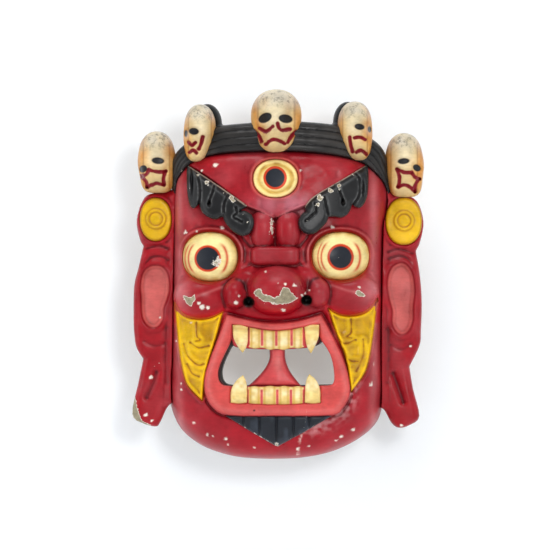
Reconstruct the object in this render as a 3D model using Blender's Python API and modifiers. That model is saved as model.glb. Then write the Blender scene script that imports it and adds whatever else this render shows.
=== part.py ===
"""Carved and painted wooden wall mask of a three-eyed guardian with a five-skull crown.

Run with: blender --background --python part.py

The mask hangs on a wall. +Z is up, the face looks along -Y, and the back rim lies in the plane y = 0.
The origin is on that plane, level with the pivot of the hanger ring. Sizes are in millimetres: x to
the viewer's right and z up from the middle of the face, and depth from the back plane towards the
viewer. Left and right are the viewer's.
"""

import math

import bmesh
import bpy
from mathutils import Matrix, Vector

MM = 0.001
GAP = 0.3  # clearance between pieces that touch
PIVOT_Z = 78.0  # height of the hanger ring's pivot above the middle of the face

# The face block: a barrel-shaped front inside a rounded outline, and a hollow back.
WAIST_Z = -20.0  # the widest height
FACE = (95.5, 129.0, 146.0)  # half width, rise to the crown, drop to the chin
HOLLOW = (82.0, 95.5, 130.0)
POWERS = (5.0, 4.0)  # how square the outline is above and below the waist
EDGE_DEPTH = 20.0
CENTRE_DEPTH = 62.0
BARREL_HALF_WIDTH = 101.0
TOP_FALL = 0.25  # share of the barrel's height lost at the crown
CHIN_FALL = 0.30
ROLL = 13.0  # how far the front turns down at the outline
ROLL_START = 0.88
WALL = 13.0
STEPS = (18, 22)

# The crown is a carved band over the forehead, with an outer outline of its own.
CROWN_HALF_WIDTHS = (100.0, 106.0)  # left, right
CROWN_RISE = 156.8
CROWN_POWER = 4.3
CROWN_SWEEP = math.radians(45)
CROWN_STRANDS = 4
CROWN_DEPTHS = (20.0, 60.0)  # at the ends, in the middle

# Thickness of the pieces laid on the face.
LIPS, TEETH, BROWS, PANELS, BEARD = 8.0, 6.0, 10.0, 4.5, 8.0

COLOURS = {
    "red": (0.42, 0.02, 0.03, 1),
    "pink": (0.62, 0.13, 0.12, 1),
    "black": (0.015, 0.016, 0.018, 1),
    "yellow": (0.72, 0.42, 0.01, 1),
    "cream": (0.78, 0.62, 0.32, 1),
    "bone": (0.70, 0.56, 0.34, 1),
    "bare_wood": (0.34, 0.22, 0.12, 1),
    "steel": (0.55, 0.55, 0.56, 1),
}

# Outlines (x, z). A third value marks a sharp corner.
MOUTH = (
    (-40.4, -60.7, 1), (-36, -67.5, 1), (0, -68.4), (35, -67, 1), (38.1, -57.4, 1), (47.9, -72.6),
    (51.6, -87.9), (51.1, -98.8), (46, -101.4, 1), (-40.4, -101.4, 1), (-49.1, -99.9), (-52.4, -92.3),
    (-50.2, -81.4),
)
LIP_OUTLINE = (
    (-45.2, -36.7, 1), (-22, -41.5), (-1.2, -44.3), (20, -41.5), (40.2, -36.7, 1), (53.4, -61.7),
    (64.3, -90), (66.4, -107.6), (59.9, -121.7), (49, -128.3, 1), (-42.6, -128.3, 1),
    (-57.9, -120.6), (-64.4, -107.6), (-64.8, -93.3), (-60, -77), (-52.4, -57.4),
)
UPPER_ROW = ((-39.6, -48.3, 1), (38.4, -48.3, 1), (38.4, -72, 1), (-39.6, -72, 1))
LOWER_ROW = ((-41.8, -98, 1), (40.2, -98, 1), (40.2, -117.7, 1), (-41.8, -117.7, 1))
UPPER_INCISORS = (
    (-26.0, -48.9, 1), (24.7, -48.9, 1), (24.7, -66, 1), (19.5, -67.6), (14.1, -65.8, 1),
    (7, -68.4), (-0.1, -66.5, 1), (-6.4, -68.4), (-12.7, -65.8, 1), (-19.5, -67.6), (-26, -66, 1),
)
LOWER_INCISORS = (
    (-26.7, -117.1, 1), (24.5, -117.1, 1), (24.5, -103, 1), (19, -101.9), (13, -103.2, 1),
    (7, -101.9), (0.8, -103.2, 1), (-6.2, -101.9), (-13.3, -103.2, 1), (-20, -101.9), (-26.7, -103, 1),
)
FANGS = {
    "fang_upper_left": ((-39, -48.9, 1), (-26.6, -48.9, 1), (-27.2, -61), (-30.2, -71.6, 1), (-37, -62)),
    "fang_upper_right": ((25.3, -48.9, 1), (37.8, -48.9, 1), (36.4, -62), (31, -72.3, 1), (26.6, -61)),
    "fang_lower_left": ((-41.2, -117.1, 1), (-27.3, -117.1, 1), (-27.2, -104), (-29.5, -91.8, 1), (-38, -104)),
    "fang_lower_right": ((26, -117.1, 1), (39.6, -117.1, 1), (38.6, -104), (29.3, -90.7, 1), (26.4, -104)),
}
TONGUE_OUTLINE = (
    (-25.2, -101.1, 1), (-22, -94.5), (-11, -86), (-6.3, -77), (-6.2, -68.9, 1), (7.6, -68.9, 1),
    (7.9, -77), (11, -86), (18.5, -94.5), (20.6, -101.1, 1),
)
BEARD_OUTLINE = ((-44.8, -128.8, 1), (49, -128.8, 1), (32, -142), (0.5, -156, 1), (-29, -142))
PANEL_OUTLINES = {
    "cheek_panel_left": (
        (-91.5, -26.9, 1), (-73.2, -41), (-48.6, -35.6, 1), (-54.8, -61), (-67, -93.5), (-67.4, -114, 1),
        (-81.8, -96.7), (-87.3, -72.6), (-89.9, -46.5),
    ),
    "cheek_panel_right": (
        (90.8, -23.6, 1), (68.9, -38.7), (46.9, -32.4, 1), (52.5, -55), (67, -88), (68.2, -106, 1),
        (81.7, -83.6), (87.1, -55.3),
    ),
}
BROW_OUTLINES = {
    "eyebrow_left": (
        (-79.2, 96.3, 1), (-22, 54.9, 1), (-20.7, 46.8), (-23.9, 37.2), (-30, 33.9), (-37.4, 37),
        (-45.5, 46, 1), (-50, 50.5, 1), (-54.9, 50), (-62.6, 54), (-68, 63, 1), (-73.8, 58.5),
        (-77.9, 65.7), (-80.1, 79.2),
    ),
    "eyebrow_right": (
        (82.2, 97.2, 1), (24, 53.7, 1), (20.3, 46.2), (22.5, 38), (28.4, 35.4), (37, 39),
        (44, 49, 1), (53.1, 50.6), (60, 55.5), (66, 64, 1), (73.4, 59.4), (79, 67), (82, 80),
    ),
}
BROW_LOCKS = {
    "eyebrow_left": (((-74, 64), (-70, 80), (-58, 78)), ((-58, 55), (-57, 68), (-42, 66)), ((-38, 42), (-40, 55), (-28, 54))),
    "eyebrow_right": (((74, 65), (71, 80), (60, 79)), ((56, 56), (58, 69), (44, 66)), ((37, 44), (41, 56), (29, 54))),
}
FOREHEAD_OUTLINE = (
    (-78.5, 97.6, 1), (-22.4, 56.2, 1), (-2.5, 48, 1), (24, 55.2, 1), (81, 98.2, 1), (60, 116, 1),
    (-60, 116, 1),
)
EAR_OUTLINES = {
    "ear_left": (
        (-99, 66.5), (-109.1, 71.4), (-119, 67.5), (-125.7, 48.3), (-122.8, 31), (-120, 23.4, 1),
        (-124.4, 3.6), (-128.2, -20), (-128, -55), (-125.7, -67.7), (-119.7, -77.4, 1), (-124, -98),
        (-129.8, -127.2), (-121, -135), (-109.4, -138.2), (-105, -133), (-97.2, -104.7), (-90, -90, 1),
        (-88, 60, 1),
    ),
    "ear_right": (
        (100, 63), (114.4, 70.3), (126.5, 64.5), (132.3, 46.6), (129, 29), (125.4, 19.8, 1),
        (129.3, -3.9), (130.6, -28), (128.8, -65.4), (119.3, -84.5, 1), (123, -105), (128.1, -129.2),
        (120, -137), (110.9, -139.3), (104.3, -135), (97.5, -122), (88, -117, 1), (88, 60, 1),
    ),
}
# Ear discs: x, z, half width, half height.
EAR_DISCS = {"left": (-109.4, 48.4, 13.4, 19.4), "right": (115.0, 46.7, 15.6, 21.0)}
EAR_BOWLS = {"left": (-110.2, -21.3, 13, 27.3), "right": (113.5, -22, 12, 30)}
EAR_CREASES = {
    "left": ((-109.4, -91), (-114, -107), (-121.8, -121)),
    "right": ((105.8, -92.3), (112, -105), (117.6, -123.7)),
}

# Eyes: x, z, depth of the centre, half sizes (x, depth, z), turn outwards in degrees.
EYES = {
    "eyeball_left": ((-59.4, 15.3, 52.5), (24.6, 15, 22.1), -11),
    "eyeball_right": ((57.6, 16.2, 52.6), (25.3, 15, 21.3), 12),
    "third_eye": ((-0.9, 85.6, 57.5), (22.0, 8, 18.2), 0),
}
EYE_SEAT = 5.0  # how far an eye's flat back lies behind its centre

# Skulls: centre (x, depth, z), half sizes (x, depth, z), depth of the flat back.
SKULLS = {
    "skull_center": ((-0.2, 52, 137.6), (22.9, 26, 27.6), 32),
    "skull_upper_left": ((-68.6, 38, 126.4), (14.3, 20, 25.7), 20),
    "skull_upper_right": ((70.5, 38, 128), (15.5, 20, 26.4), 20),
    "skull_lower_left": ((-107.0, 16, 100.4), (17.4, 17, 28), 4),
    "skull_lower_right": ((114.0, 16, 97.5), (17.8, 17, 29), 4),
}
# Hollow eyes of each skull (x, z), and the line of its mouth.
SKULL_EYES = {
    "skull_center": ((-10.2, 139.2), (8.2, 138.4)),
    "skull_upper_left": ((-74.3, 127.3), (-65.5, 128)),
    "skull_upper_right": ((74.7, 131.4), (66.5, 131)),
    "skull_lower_left": ((-106.8, 101.2), (-117.5, 95)),
    "skull_lower_right": ((114.6, 100.8), (124.5, 95.5)),
}
# Pegs: middle (x, depth, z), length, whether it lies across the mask.
PEGS = {
    "skull_peg_center": ((-0.2, 32, 126), 24, False),
    "skull_peg_upper_left": ((-67, 20, 119), 18, False),
    "skull_peg_upper_right": ((69, 20, 119), 18, False),
    "skull_peg_lower_left": ((-92.5, 14, 98), 16, True),
    "skull_peg_lower_right": ((97.5, 14, 98), 16, True),
    "ear_peg_left": ((-96, 11, -12), 17, True),
    "ear_peg_right": ((96, 11, -12), 17, True),
}
PEG_RADIUS = 3.2

# The hanger: a folded strap screwed into a shallow seat, with a D-shaped ring in its eye.
PIVOT_DEPTH = 2.6
WIRE = 1.2
RING_HALF_WIDTH = 8.2
RING_REACH = 24.7
STRAP_WIDTH = 9.0
STRAP_TOP = 98.0
SEAT_DEPTH = 5.4
SCREWS = {"hanger_screw_lower": 85.5, "hanger_screw_upper": 93.5}


# ---------------------------------------------------------------- scene set-up


def new_collection(name, hidden=False):
    collection = bpy.data.collections.new(name)
    collection.hide_render = hidden
    bpy.context.scene.collection.children.link(collection)
    return collection


def material(name):
    found = bpy.data.materials.get(name)
    if found:
        return found
    made = bpy.data.materials.new(name)
    made.use_nodes = True
    shader = made.node_tree.nodes["Principled BSDF"]
    shader.inputs["Base Color"].default_value = COLOURS[name]
    shader.inputs["Metallic"].default_value = 1.0 if name == "steel" else 0.0
    shader.inputs["Roughness"].default_value = 0.8 if name == "bare_wood" else 0.35
    return made


for leftover in list(bpy.data.objects):
    bpy.data.objects.remove(leftover, do_unlink=True)
PARTS = new_collection("guardian_mask")
CUTTERS = new_collection("cutters", hidden=True)
FRAME = bpy.data.objects.new("mask_frame", None)
FRAME.location.z = -PIVOT_Z * MM
PARTS.objects.link(FRAME)


def point(x, depth, z):
    return Vector((x, -depth, z)) * MM


def add(name, mesh, colour=None, at=(0, 0, 0), turn=0.0):
    """A part if it has a colour, and otherwise a hidden cutter. turn is in degrees about the vertical."""
    obj = bpy.data.objects.new(name, mesh)
    obj.location = point(*at)
    obj.rotation_euler.z = math.radians(turn)
    obj.parent = FRAME
    if colour:
        PARTS.objects.link(obj)
        mesh.materials.append(material(colour))
    else:
        CUTTERS.objects.link(obj)
        obj.hide_render = True
        obj.display_type = "WIRE"
    return obj


def boolean(obj, other, operation="DIFFERENCE"):
    modifier = obj.modifiers.new(other.name, "BOOLEAN")
    modifier.operation = operation
    modifier.solver = "EXACT"
    modifier.object = other


def mesh_from(bm, name):
    bmesh.ops.recalc_face_normals(bm, faces=bm.faces)
    mesh = bpy.data.meshes.new(name)
    bm.to_mesh(mesh)
    bm.free()
    return mesh


# ------------------------------------------------------------- shape of the face


def ring(x, z, size=FACE):
    """0 at the middle of the face and 1 on its outline."""
    up = z - WAIST_Z
    reach, power = (size[1], POWERS[0]) if up > 0 else (size[2], POWERS[1])
    return ((abs(x) / size[0]) ** power + (abs(up) / reach) ** power) ** (1 / power)


def surface(x, z):
    """Depth of the face's plain front: a barrel whose edge turns down at the outline."""
    side = math.sqrt(max(0.0, 1 - (x / BARREL_HALF_WIDTH) ** 2))
    up = z - WAIST_Z
    lift = 1 - TOP_FALL * (up / FACE[1]) ** 2 if up > 0 else 1 - CHIN_FALL * (up / FACE[2]) ** 2
    beyond = min(1.0, max(0.0, ring(x, z) - ROLL_START) / (1 - ROLL_START))
    roll = ROLL * (1 - math.sqrt(1 - beyond**2))
    return EDGE_DEPTH + (CENTRE_DEPTH - EDGE_DEPTH) * side * lift - roll


def on_outline(u, v, size=FACE):
    """A point of the square -1..1 moved onto the face, so that the square's edge is the outline."""
    x, z = size[0] * u, (size[1] if v > 0 else size[2]) * v + WAIST_Z
    reach = max(abs(u), abs(v))
    if reach < 1e-6:
        return 0.0, WAIST_Z
    scale = math.sin(reach * math.pi / 2) / ring(x, z, size)
    return x * scale, (z - WAIST_Z) * scale + WAIST_Z


def relief_block(name, steps, place, flat_back=False):
    """A closed block. place(u, v) gives x, z, back depth and front depth for u and v from -1 to 1."""
    bm = bmesh.new()
    bmesh.ops.create_grid(bm, x_segments=steps[0], y_segments=steps[1], size=1)
    fronts, front_faces = list(bm.verts), bm.faces[:]
    made = bmesh.ops.extrude_face_region(bm, geom=front_faces)
    backs = [item for item in made["geom"] if isinstance(item, bmesh.types.BMVert)]
    back_faces = [item for item in made["geom"] if isinstance(item, bmesh.types.BMFace)]
    for verts, layer in ((backs, 2), (fronts, 3)):
        for vert in verts:
            placed = place(vert.co.x, vert.co.y)
            vert.co = point(placed[0], placed[layer], placed[1])
    if flat_back:
        bmesh.ops.dissolve_faces(bm, faces=back_faces)
    bmesh.ops.triangulate(bm, faces=[f for f in bm.faces if len(f.verts) == 4], quad_method="FIXED")
    return mesh_from(bm, name)


def skin(low, high):
    """The layer between two heights above the face, as a cutter."""
    name = f"skin_{low}_{high}"

    def place(u, v):
        x, z = on_outline(u, v)
        depth = surface(x, z)
        return x, z, depth + low, depth + high

    return bpy.data.objects.get(name) or add(name, relief_block(name, STEPS, place))


# ------------------------------------------------------------- basic solid forms


def ellipsoid(name, radii, back=None, foot=None, segments=16, rings=10):
    """A ball with half sizes (x, depth, z). back and foot cut it flat at that depth and height."""
    bm = bmesh.new()
    bmesh.ops.create_uvsphere(bm, u_segments=segments, v_segments=rings, radius=1)
    for vert in bm.verts:
        x, depth, z = vert.co.x * radii[0], -vert.co.y * radii[1], vert.co.z * radii[2]
        if foot is not None and z < 0:
            z *= 1.2
        vert.co = point(x, depth, z)
    for normal, level in (((0, 1, 0), back), ((0, 0, -1), foot)):
        if level is not None:
            flat = point(0, level, 0) if normal[1] else point(0, 0, level)
            whole = bm.verts[:] + bm.edges[:] + bm.faces[:]
            cut = bmesh.ops.bisect_plane(bm, geom=whole, plane_co=flat, plane_no=normal, clear_outer=True)
            rim = [item for item in cut["geom_cut"] if isinstance(item, bmesh.types.BMEdge)]
            bmesh.ops.contextual_create(bm, geom=rim)
    return mesh_from(bm, name)


def bar(name, radius, length, sides=16, half_sizes=None):
    """A round bar along depth, centred. half_sizes makes it oval."""
    bm = bmesh.new()
    bmesh.ops.create_cone(
        bm, cap_ends=True, segments=sides, radius1=radius * MM, radius2=radius * MM, depth=length * MM
    )
    if half_sizes:
        wide, high = half_sizes
        bmesh.ops.scale(bm, verts=bm.verts, vec=(wide / radius, high / radius, 1))
    bmesh.ops.rotate(bm, verts=bm.verts, matrix=Matrix.Rotation(math.pi / 2, 3, "X"))
    return mesh_from(bm, name)


def block(name, size, edge=0.0):
    """A block of size (x, depth, z), centred, with its edges rounded."""
    bm = bmesh.new()
    bmesh.ops.create_cube(bm, size=MM)
    bmesh.ops.scale(bm, verts=bm.verts, vec=size)
    if edge:
        bmesh.ops.bevel(bm, geom=bm.edges[:], offset=edge * MM, segments=2, affect="EDGES")
    return mesh_from(bm, name)


def mesh_of_curve(name, curve):
    """The solid of a curve that is drawn in millimetres with z as depth."""
    holder = bpy.data.objects.new(name, curve)
    bpy.context.scene.collection.objects.link(holder)
    bpy.context.view_layer.update()
    shaped = bpy.data.meshes.new_from_object(holder.evaluated_get(bpy.context.evaluated_depsgraph_get()))
    bpy.data.objects.remove(holder)
    bm = bmesh.new()
    bm.from_mesh(shaped)
    bmesh.ops.remove_doubles(bm, verts=bm.verts, dist=1e-3)
    bmesh.ops.rotate(bm, verts=bm.verts, matrix=Matrix.Rotation(math.pi / 2, 3, "X"))
    bmesh.ops.scale(bm, verts=bm.verts, vec=(MM, MM, MM))
    bpy.data.meshes.remove(shaped)
    bpy.data.curves.remove(curve)
    return mesh_from(bm, name)


def prism(name, outline, low, high):
    """An outline given thickness between two depths."""
    curve = bpy.data.curves.new(name, "CURVE")
    curve.dimensions, curve.fill_mode, curve.resolution_u = "2D", "BOTH", 2
    curve.extrude = (high - low) / 2
    spline = curve.splines.new("BEZIER")
    spline.bezier_points.add(len(outline) - 1)
    spline.use_cyclic_u = True
    for knot, place in zip(spline.bezier_points, outline):
        knot.co = (place[0], place[1], 0)
        knot.handle_left_type = knot.handle_right_type = "VECTOR" if len(place) == 3 else "AUTO"
    mesh = mesh_of_curve(name, curve)
    mesh.transform(Matrix.Translation(point(0, (high + low) / 2, 0)))
    return mesh


def stroke(name, places, radius, cyclic=False):
    """A round bar along a smooth line of places (x, depth, z)."""
    curve = bpy.data.curves.new(name, "CURVE")
    curve.dimensions, curve.resolution_u = "3D", 2
    curve.bevel_depth, curve.bevel_resolution, curve.use_fill_caps = radius, 1, not cyclic
    spline = curve.splines.new("BEZIER")
    spline.bezier_points.add(len(places) - 1)
    spline.use_cyclic_u = cyclic
    for knot, (x, depth, z) in zip(spline.bezier_points, places):
        knot.co = (x, z, depth)
        knot.handle_left_type = knot.handle_right_type = "AUTO"
    return mesh_of_curve(name, curve)


def soften(obj, width):
    modifier = obj.modifiers.new("rounded_edges", "BEVEL")
    modifier.width = width * MM
    modifier.segments = 1
    modifier.limit_method = "ANGLE"
    modifier.angle_limit = math.radians(60)


def carve(obj, name, places, radius):
    boolean(obj, add(name, stroke(name, places, radius)))


def laid(name, outline, thickness, colour):
    """A piece that follows the face's surface inside its outline."""
    obj = add(name, prism(name, outline, -5, 95), colour)
    boolean(obj, skin(GAP, thickness), "INTERSECT")
    return obj


def sides_of(name):
    return "left" if name.endswith("left") else "right"


# ------------------------------------------------------------------------- pieces


def build_face():
    def place(u, v):
        x, z = on_outline(u, v)
        return x, z, 0.0, surface(x, z)

    def hollow(u, v):
        x, z = on_outline(u, v, HOLLOW)
        near = ring(x, z, HOLLOW)
        return x, z, -1.0, 1 + (surface(x, z) - WALL) * math.sqrt(max(0.0, 1 - near**5))

    face = add("face_shell", relief_block("face_shell", STEPS, place, flat_back=True), "red")
    forehead = add("forehead", prism("forehead", FOREHEAD_OUTLINE, -5, 95))
    boolean(forehead, skin(-6, 4), "INTERSECT")
    boolean(face, forehead, "UNION")
    for name, (at, radii, turn) in face_swellings().items():
        boolean(face, add(name, ellipsoid(name, radii, segments=14, rings=8), at=at, turn=turn), "UNION")
    bridge = add("nose_bridge", block("nose_bridge", (43, 24, 15.7), 3), at=(-1.2, 60, 15.6))
    boolean(face, bridge, "UNION")
    for name, (at, radii, turn) in EYES.items():
        if name != "third_eye":
            wide, high = radii[0] + 3, radii[2] + 3.2
            boolean(face, add(f"lid_{name}", oval_rim(f"lid_{name}", wide, high, 3.0), at=swap(at), turn=turn), "UNION")
    boolean(face, add("hollow", relief_block("hollow", (12, 16), hollow)))
    boolean(face, add("mouth_opening", prism("mouth_opening", MOUTH, -2, 95)))
    for name, x, z in (("nostril_left", -24.8, -25.2), ("nostril_right", 27.2, -23.4)):
        boolean(face, add(name, ellipsoid(name, (4.5, 16, 3.6), segments=12, rings=8), at=(x, 80, z)))
    return face


def face_swellings():
    """Rounded masses of the face: centre (x, depth, z), half sizes (x, depth, z), turn in degrees."""
    return {
        "nose_tip": ((0.5, 66, -15), (25.5, 33, 20.8), 0),
        "nostril_wing_left": ((-35.1, 60, -18), (11.5, 20, 11.5), 0),
        "nostril_wing_right": ((35.1, 60, -18), (11.5, 20, 11.5), 0),
        "cheek_left": ((-68.0, 50, -25), (21.6, 20, 16.5), -12),
        "cheek_right": ((69.0, 50, -21.5), (21.4, 20, 15.2), 12),
        "brow_boss_left": ((-12.3, 60, 38.7), (9.1, 13, 14.2), 0),
        "brow_boss_right": ((9.8, 60, 38.7), (10.4, 13, 14.2), 0),
        "third_eye_rim": ((-0.9, 56.5, 85.6), (25.4, 6, 21.4), 0),
    }


def face_clearance():
    """The face block's outline grown by the clearance, to fit the crown and the ears to its sides."""

    def place(u, v):
        x, z = on_outline(u, v)
        return x * (1 + GAP / 90), WAIST_Z + (z - WAIST_Z) * (1 + GAP / 90), -3.0, 80.0

    name = "face_clearance"
    return bpy.data.objects.get(name) or add(name, relief_block(name, STEPS, place, flat_back=True))


def clear_of(piece, swelling):
    at, radii, turn = face_swellings()[swelling]
    grown = tuple(size + 2 * GAP for size in radii)
    name = f"{swelling}_clearance"
    boolean(piece, add(name, ellipsoid(name, grown, segments=14, rings=8), at=at, turn=turn))


def swap(place):
    """(x, z, depth) to (x, depth, z)."""
    return place[0], place[2], place[1]


def oval_rim(name, wide, high, radius):
    quarter = ((wide, 0, 0), (0, 0, high), (-wide, 0, 0), (0, 0, -high))
    diagonal = [(x * 0.7071, 0, z * 0.7071) for x in (wide, -wide) for z in (high, -high)]
    around = sorted((*quarter, *diagonal), key=lambda place: math.atan2(place[2], place[0]))
    return stroke(name, around, radius, cyclic=True)


def build_eyes(face):
    for name, (centre, radii, turn) in EYES.items():
        at = swap(centre)
        pocket = tuple(size + GAP for size in radii)
        boolean(face, add(f"{name}_pocket", ellipsoid(name, pocket, back=-EYE_SEAT - GAP), at=at, turn=turn))
        add(name, ellipsoid(name, radii, back=-EYE_SEAT), "cream", at, turn)


def build_brows():
    for name, outline in BROW_OUTLINES.items():
        brow = laid(name, outline, BROWS, "black")
        clear_of(brow, f"brow_boss_{sides_of(name)}")
        for number, lock in enumerate(BROW_LOCKS[name]):
            carve(brow, f"{name}_lock_{number}", raised(lock, BROWS), 1.3)


def raised(line, height):
    return [(x, surface(x, z) + height, z) for x, z in line]


def build_cheek_panels():
    for name, outline in PANEL_OUTLINES.items():
        panel = laid(name, outline, PANELS, "yellow")
        clear_of(panel, f"cheek_{sides_of(name)}")


def build_mouth():
    lips = laid("lip_frame", LIP_OUTLINE, LIPS, "pink")
    for name, outline in (("mouth_gap", MOUTH), ("upper_row", UPPER_ROW), ("lower_row", LOWER_ROW)):
        boolean(lips, add(name, prism(name, outline, -2, 95)))
    rows = {
        "upper_teeth": (UPPER_INCISORS, (-12.7, -0.1, 14.1), -58),
        "lower_teeth": (LOWER_INCISORS, (-13.3, 0.8, 13.0), -110),
    }
    for name, (outline, gaps, z) in rows.items():
        teeth = laid(name, outline, TEETH, "bone")
        for number, x in enumerate(gaps):
            line = [(x, surface(x, z) + TEETH, z + step) for step in (-14, 0, 14)]
            carve(teeth, f"{name}_gap_{number}", line, 0.9)
    for name, outline in FANGS.items():
        laid(name, outline, TEETH + 1, "bone")
    soften(add("tongue", prism("tongue", TONGUE_OUTLINE, 46, 63), "red"), 1.5)


def build_beard():
    beard = laid("beard", BEARD_OUTLINE, BEARD, "black")
    for number, x in enumerate((-29.5, -15.4, 0, 15.2, 29.3)):
        line = [(x, z) for z in (-126, -135, -146, -158)]
        carve(beard, f"beard_flute_{number}", raised(line, BEARD), 1.4)


def crown_radius(angle, half_width, rise, power):
    wide, high = abs(math.sin(angle)) / half_width, math.cos(angle) / rise
    return (wide**power + high**power) ** (-1 / power)


def build_crown():
    def place(u, v):
        angle = u * CROWN_SWEEP
        inner = crown_radius(angle, FACE[0], FACE[1], POWERS[0]) - 1.5
        outer = crown_radius(angle, CROWN_HALF_WIDTHS[angle > 0], CROWN_RISE, CROWN_POWER)
        across = (v + 1) / 2
        radius = inner + (outer - inner) * across
        ridge = abs(math.sin(across * math.pi * CROWN_STRANDS)) ** 0.6
        ends, middle = CROWN_DEPTHS
        depth = ends + (middle - ends) * (1 - u * u) + 3 * ridge - 6 * across**4
        return radius * math.sin(angle), WAIST_Z + radius * math.cos(angle), 0.0, depth

    steps = (18, 3 * CROWN_STRANDS)
    crown = add("crown_band", relief_block("crown_band", steps, place, flat_back=True), "black")
    boolean(crown, face_clearance())
    return crown


def build_skulls(face, crown, ears):
    for name, (at, radii, back) in SKULLS.items():
        skull = add(name, ellipsoid(name, radii, back - at[1], -radii[2]), "cream", at)
        grown = tuple(size + GAP for size in radii)
        clear = add(f"{name}_seat", ellipsoid(name, grown, back - at[1] - GAP, -radii[2] - GAP), at=at)
        boolean(crown, clear)
        boolean(ears[sides_of(name)] if "lower" in name else face, clear)
        for number, (x, z) in enumerate(SKULL_EYES[name]):
            across, up = (x - at[0]) / radii[0], (z - at[2]) / radii[2]
            depth = at[1] + radii[1] * math.sqrt(max(0.05, 1 - across**2 - up**2))
            socket = f"{name}_eye_{number}"
            boolean(skull, add(socket, ellipsoid(socket, (3.2, 2.5, 1.8), segments=10, rings=6), at=(x, depth, z)))


def build_ears():
    ears = {}
    for name, outline in EAR_OUTLINES.items():
        side = sides_of(name)
        ear = ears[side] = add(name, prism(name, outline, 3, 20), "red")
        boolean(ear, face_clearance())
        x, z, wide, high = EAR_DISCS[side]
        pocket = bar(f"{name}_disc_seat", 10, 10, 32, (wide + GAP, high + GAP))
        boolean(ear, add(f"{name}_disc_seat", pocket, at=(x, 22, z)))
        disc = add(f"ear_disc_{side}", ellipsoid(name, (wide, 8, high), back=0, segments=20), "yellow", (x, 17 + GAP, z))
        ring_line = oval_rim(f"{name}_ring", 7.8, 8.6, 0.9)
        boolean(disc, add(f"{name}_ring", ring_line, at=(x, 24, z)))
        x, z, wide, high = EAR_BOWLS[side]
        boolean(ear, add(f"{name}_bowl", ellipsoid(name, (wide, 4, high)), at=(x, 20.5, z)))
        carve(ear, f"{name}_crease", [(x, 20, z) for x, z in EAR_CREASES[side]], 2.0)
    return ears


def build_pegs(face, crown, ears):
    for name, (at, length, across) in PEGS.items():
        turn = 90 if across else 0
        add(name, bar(name, PEG_RADIUS, length), "bare_wood", at, turn)
        hole = add(f"{name}_hole", bar(name, PEG_RADIUS + GAP, length + 2 * GAP), at=at, turn=turn)
        if name.startswith("ear"):
            boolean(face, hole)
            boolean(ears[sides_of(name)], hole)
        else:
            boolean(crown, hole)
            boolean(bpy.data.objects[name.replace("peg_", "")], hole)


def build_hanger(face):
    seat = block("hanger_seat", (2 * (RING_HALF_WIDTH + WIRE) + 2, 2 * SEAT_DEPTH, 32))
    boolean(face, add("hanger_seat", seat, at=(0, 0, 90)))
    plate_top, plate_foot = STRAP_TOP, PIVOT_Z
    plate = block("hanger_strap", (STRAP_WIDTH, 2.0, plate_top - plate_foot))
    strap = add("hanger_strap", plate, "steel", (0, 4.1, (plate_top + plate_foot) / 2))
    eye = add("strap_eye", bar("strap_eye", 2.5, STRAP_WIDTH, 20), at=(0, PIVOT_DEPTH, PIVOT_Z), turn=90)
    bore = add("strap_bore", bar("strap_bore", WIRE + GAP, 30, 20), at=(0, PIVOT_DEPTH, PIVOT_Z), turn=90)
    boolean(strap, eye, "UNION")
    boolean(strap, bore)
    for name, z in SCREWS.items():
        screw = add(name, bar(name, 3.0, 2.0, 20), "steel", (0, 1.8, z))
        shank = add(f"{name}_shank", bar(name, 1.4, 14, 12), at=(0, 8.8, z))
        slot = add(f"{name}_slot", block(name, (8, 1, 0.9)), at=(0, 0.8, z))
        hole = add(f"{name}_hole", bar(name, 1.4 + GAP, 16, 12), at=(0, 8.2, z))
        boolean(screw, shank, "UNION")
        boolean(screw, slot)
        boolean(strap, hole)
        boolean(face, hole)
    add("hanger_ring", d_ring("hanger_ring"), "steel", (0, PIVOT_DEPTH, PIVOT_Z))


def d_ring(name):
    """A wire D: a straight bar through the strap's eye, two sides and a round end hanging down."""
    half, bend, straight = RING_HALF_WIDTH, 1.8, RING_REACH - RING_HALF_WIDTH
    corners = [(half - bend, 0, 0), (half - 0.5, 0, -0.5), (half, 0, -bend)]
    line = [(-x, y, z) for x, y, z in reversed(corners)] + [(0, 0, 0)] + corners
    for step in range(7):
        angle = math.pi * step / 6
        line.append((half * math.cos(angle), 0, -straight - half * math.sin(angle)))
    return stroke(name, line, WIRE, cyclic=True)


FACE_SHELL = build_face()
build_eyes(FACE_SHELL)
build_brows()
build_cheek_panels()
build_mouth()
build_beard()
CROWN = build_crown()
EARS = build_ears()
build_skulls(FACE_SHELL, CROWN, EARS)
build_pegs(FACE_SHELL, CROWN, EARS)
build_hanger(FACE_SHELL)
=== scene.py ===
"""The looks of the carved guardian mask: sculpted wood, hand paint, studio and camera.

Shapes are signed distance fields on small grids, turned into meshes with OpenVDB. Like the CAD, they
are drawn in millimetres from the middle of the face: x to the viewer's right, d (depth) from the back
plane towards the viewer, and z up. Left and right are the viewer's.
"""

import math

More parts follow.
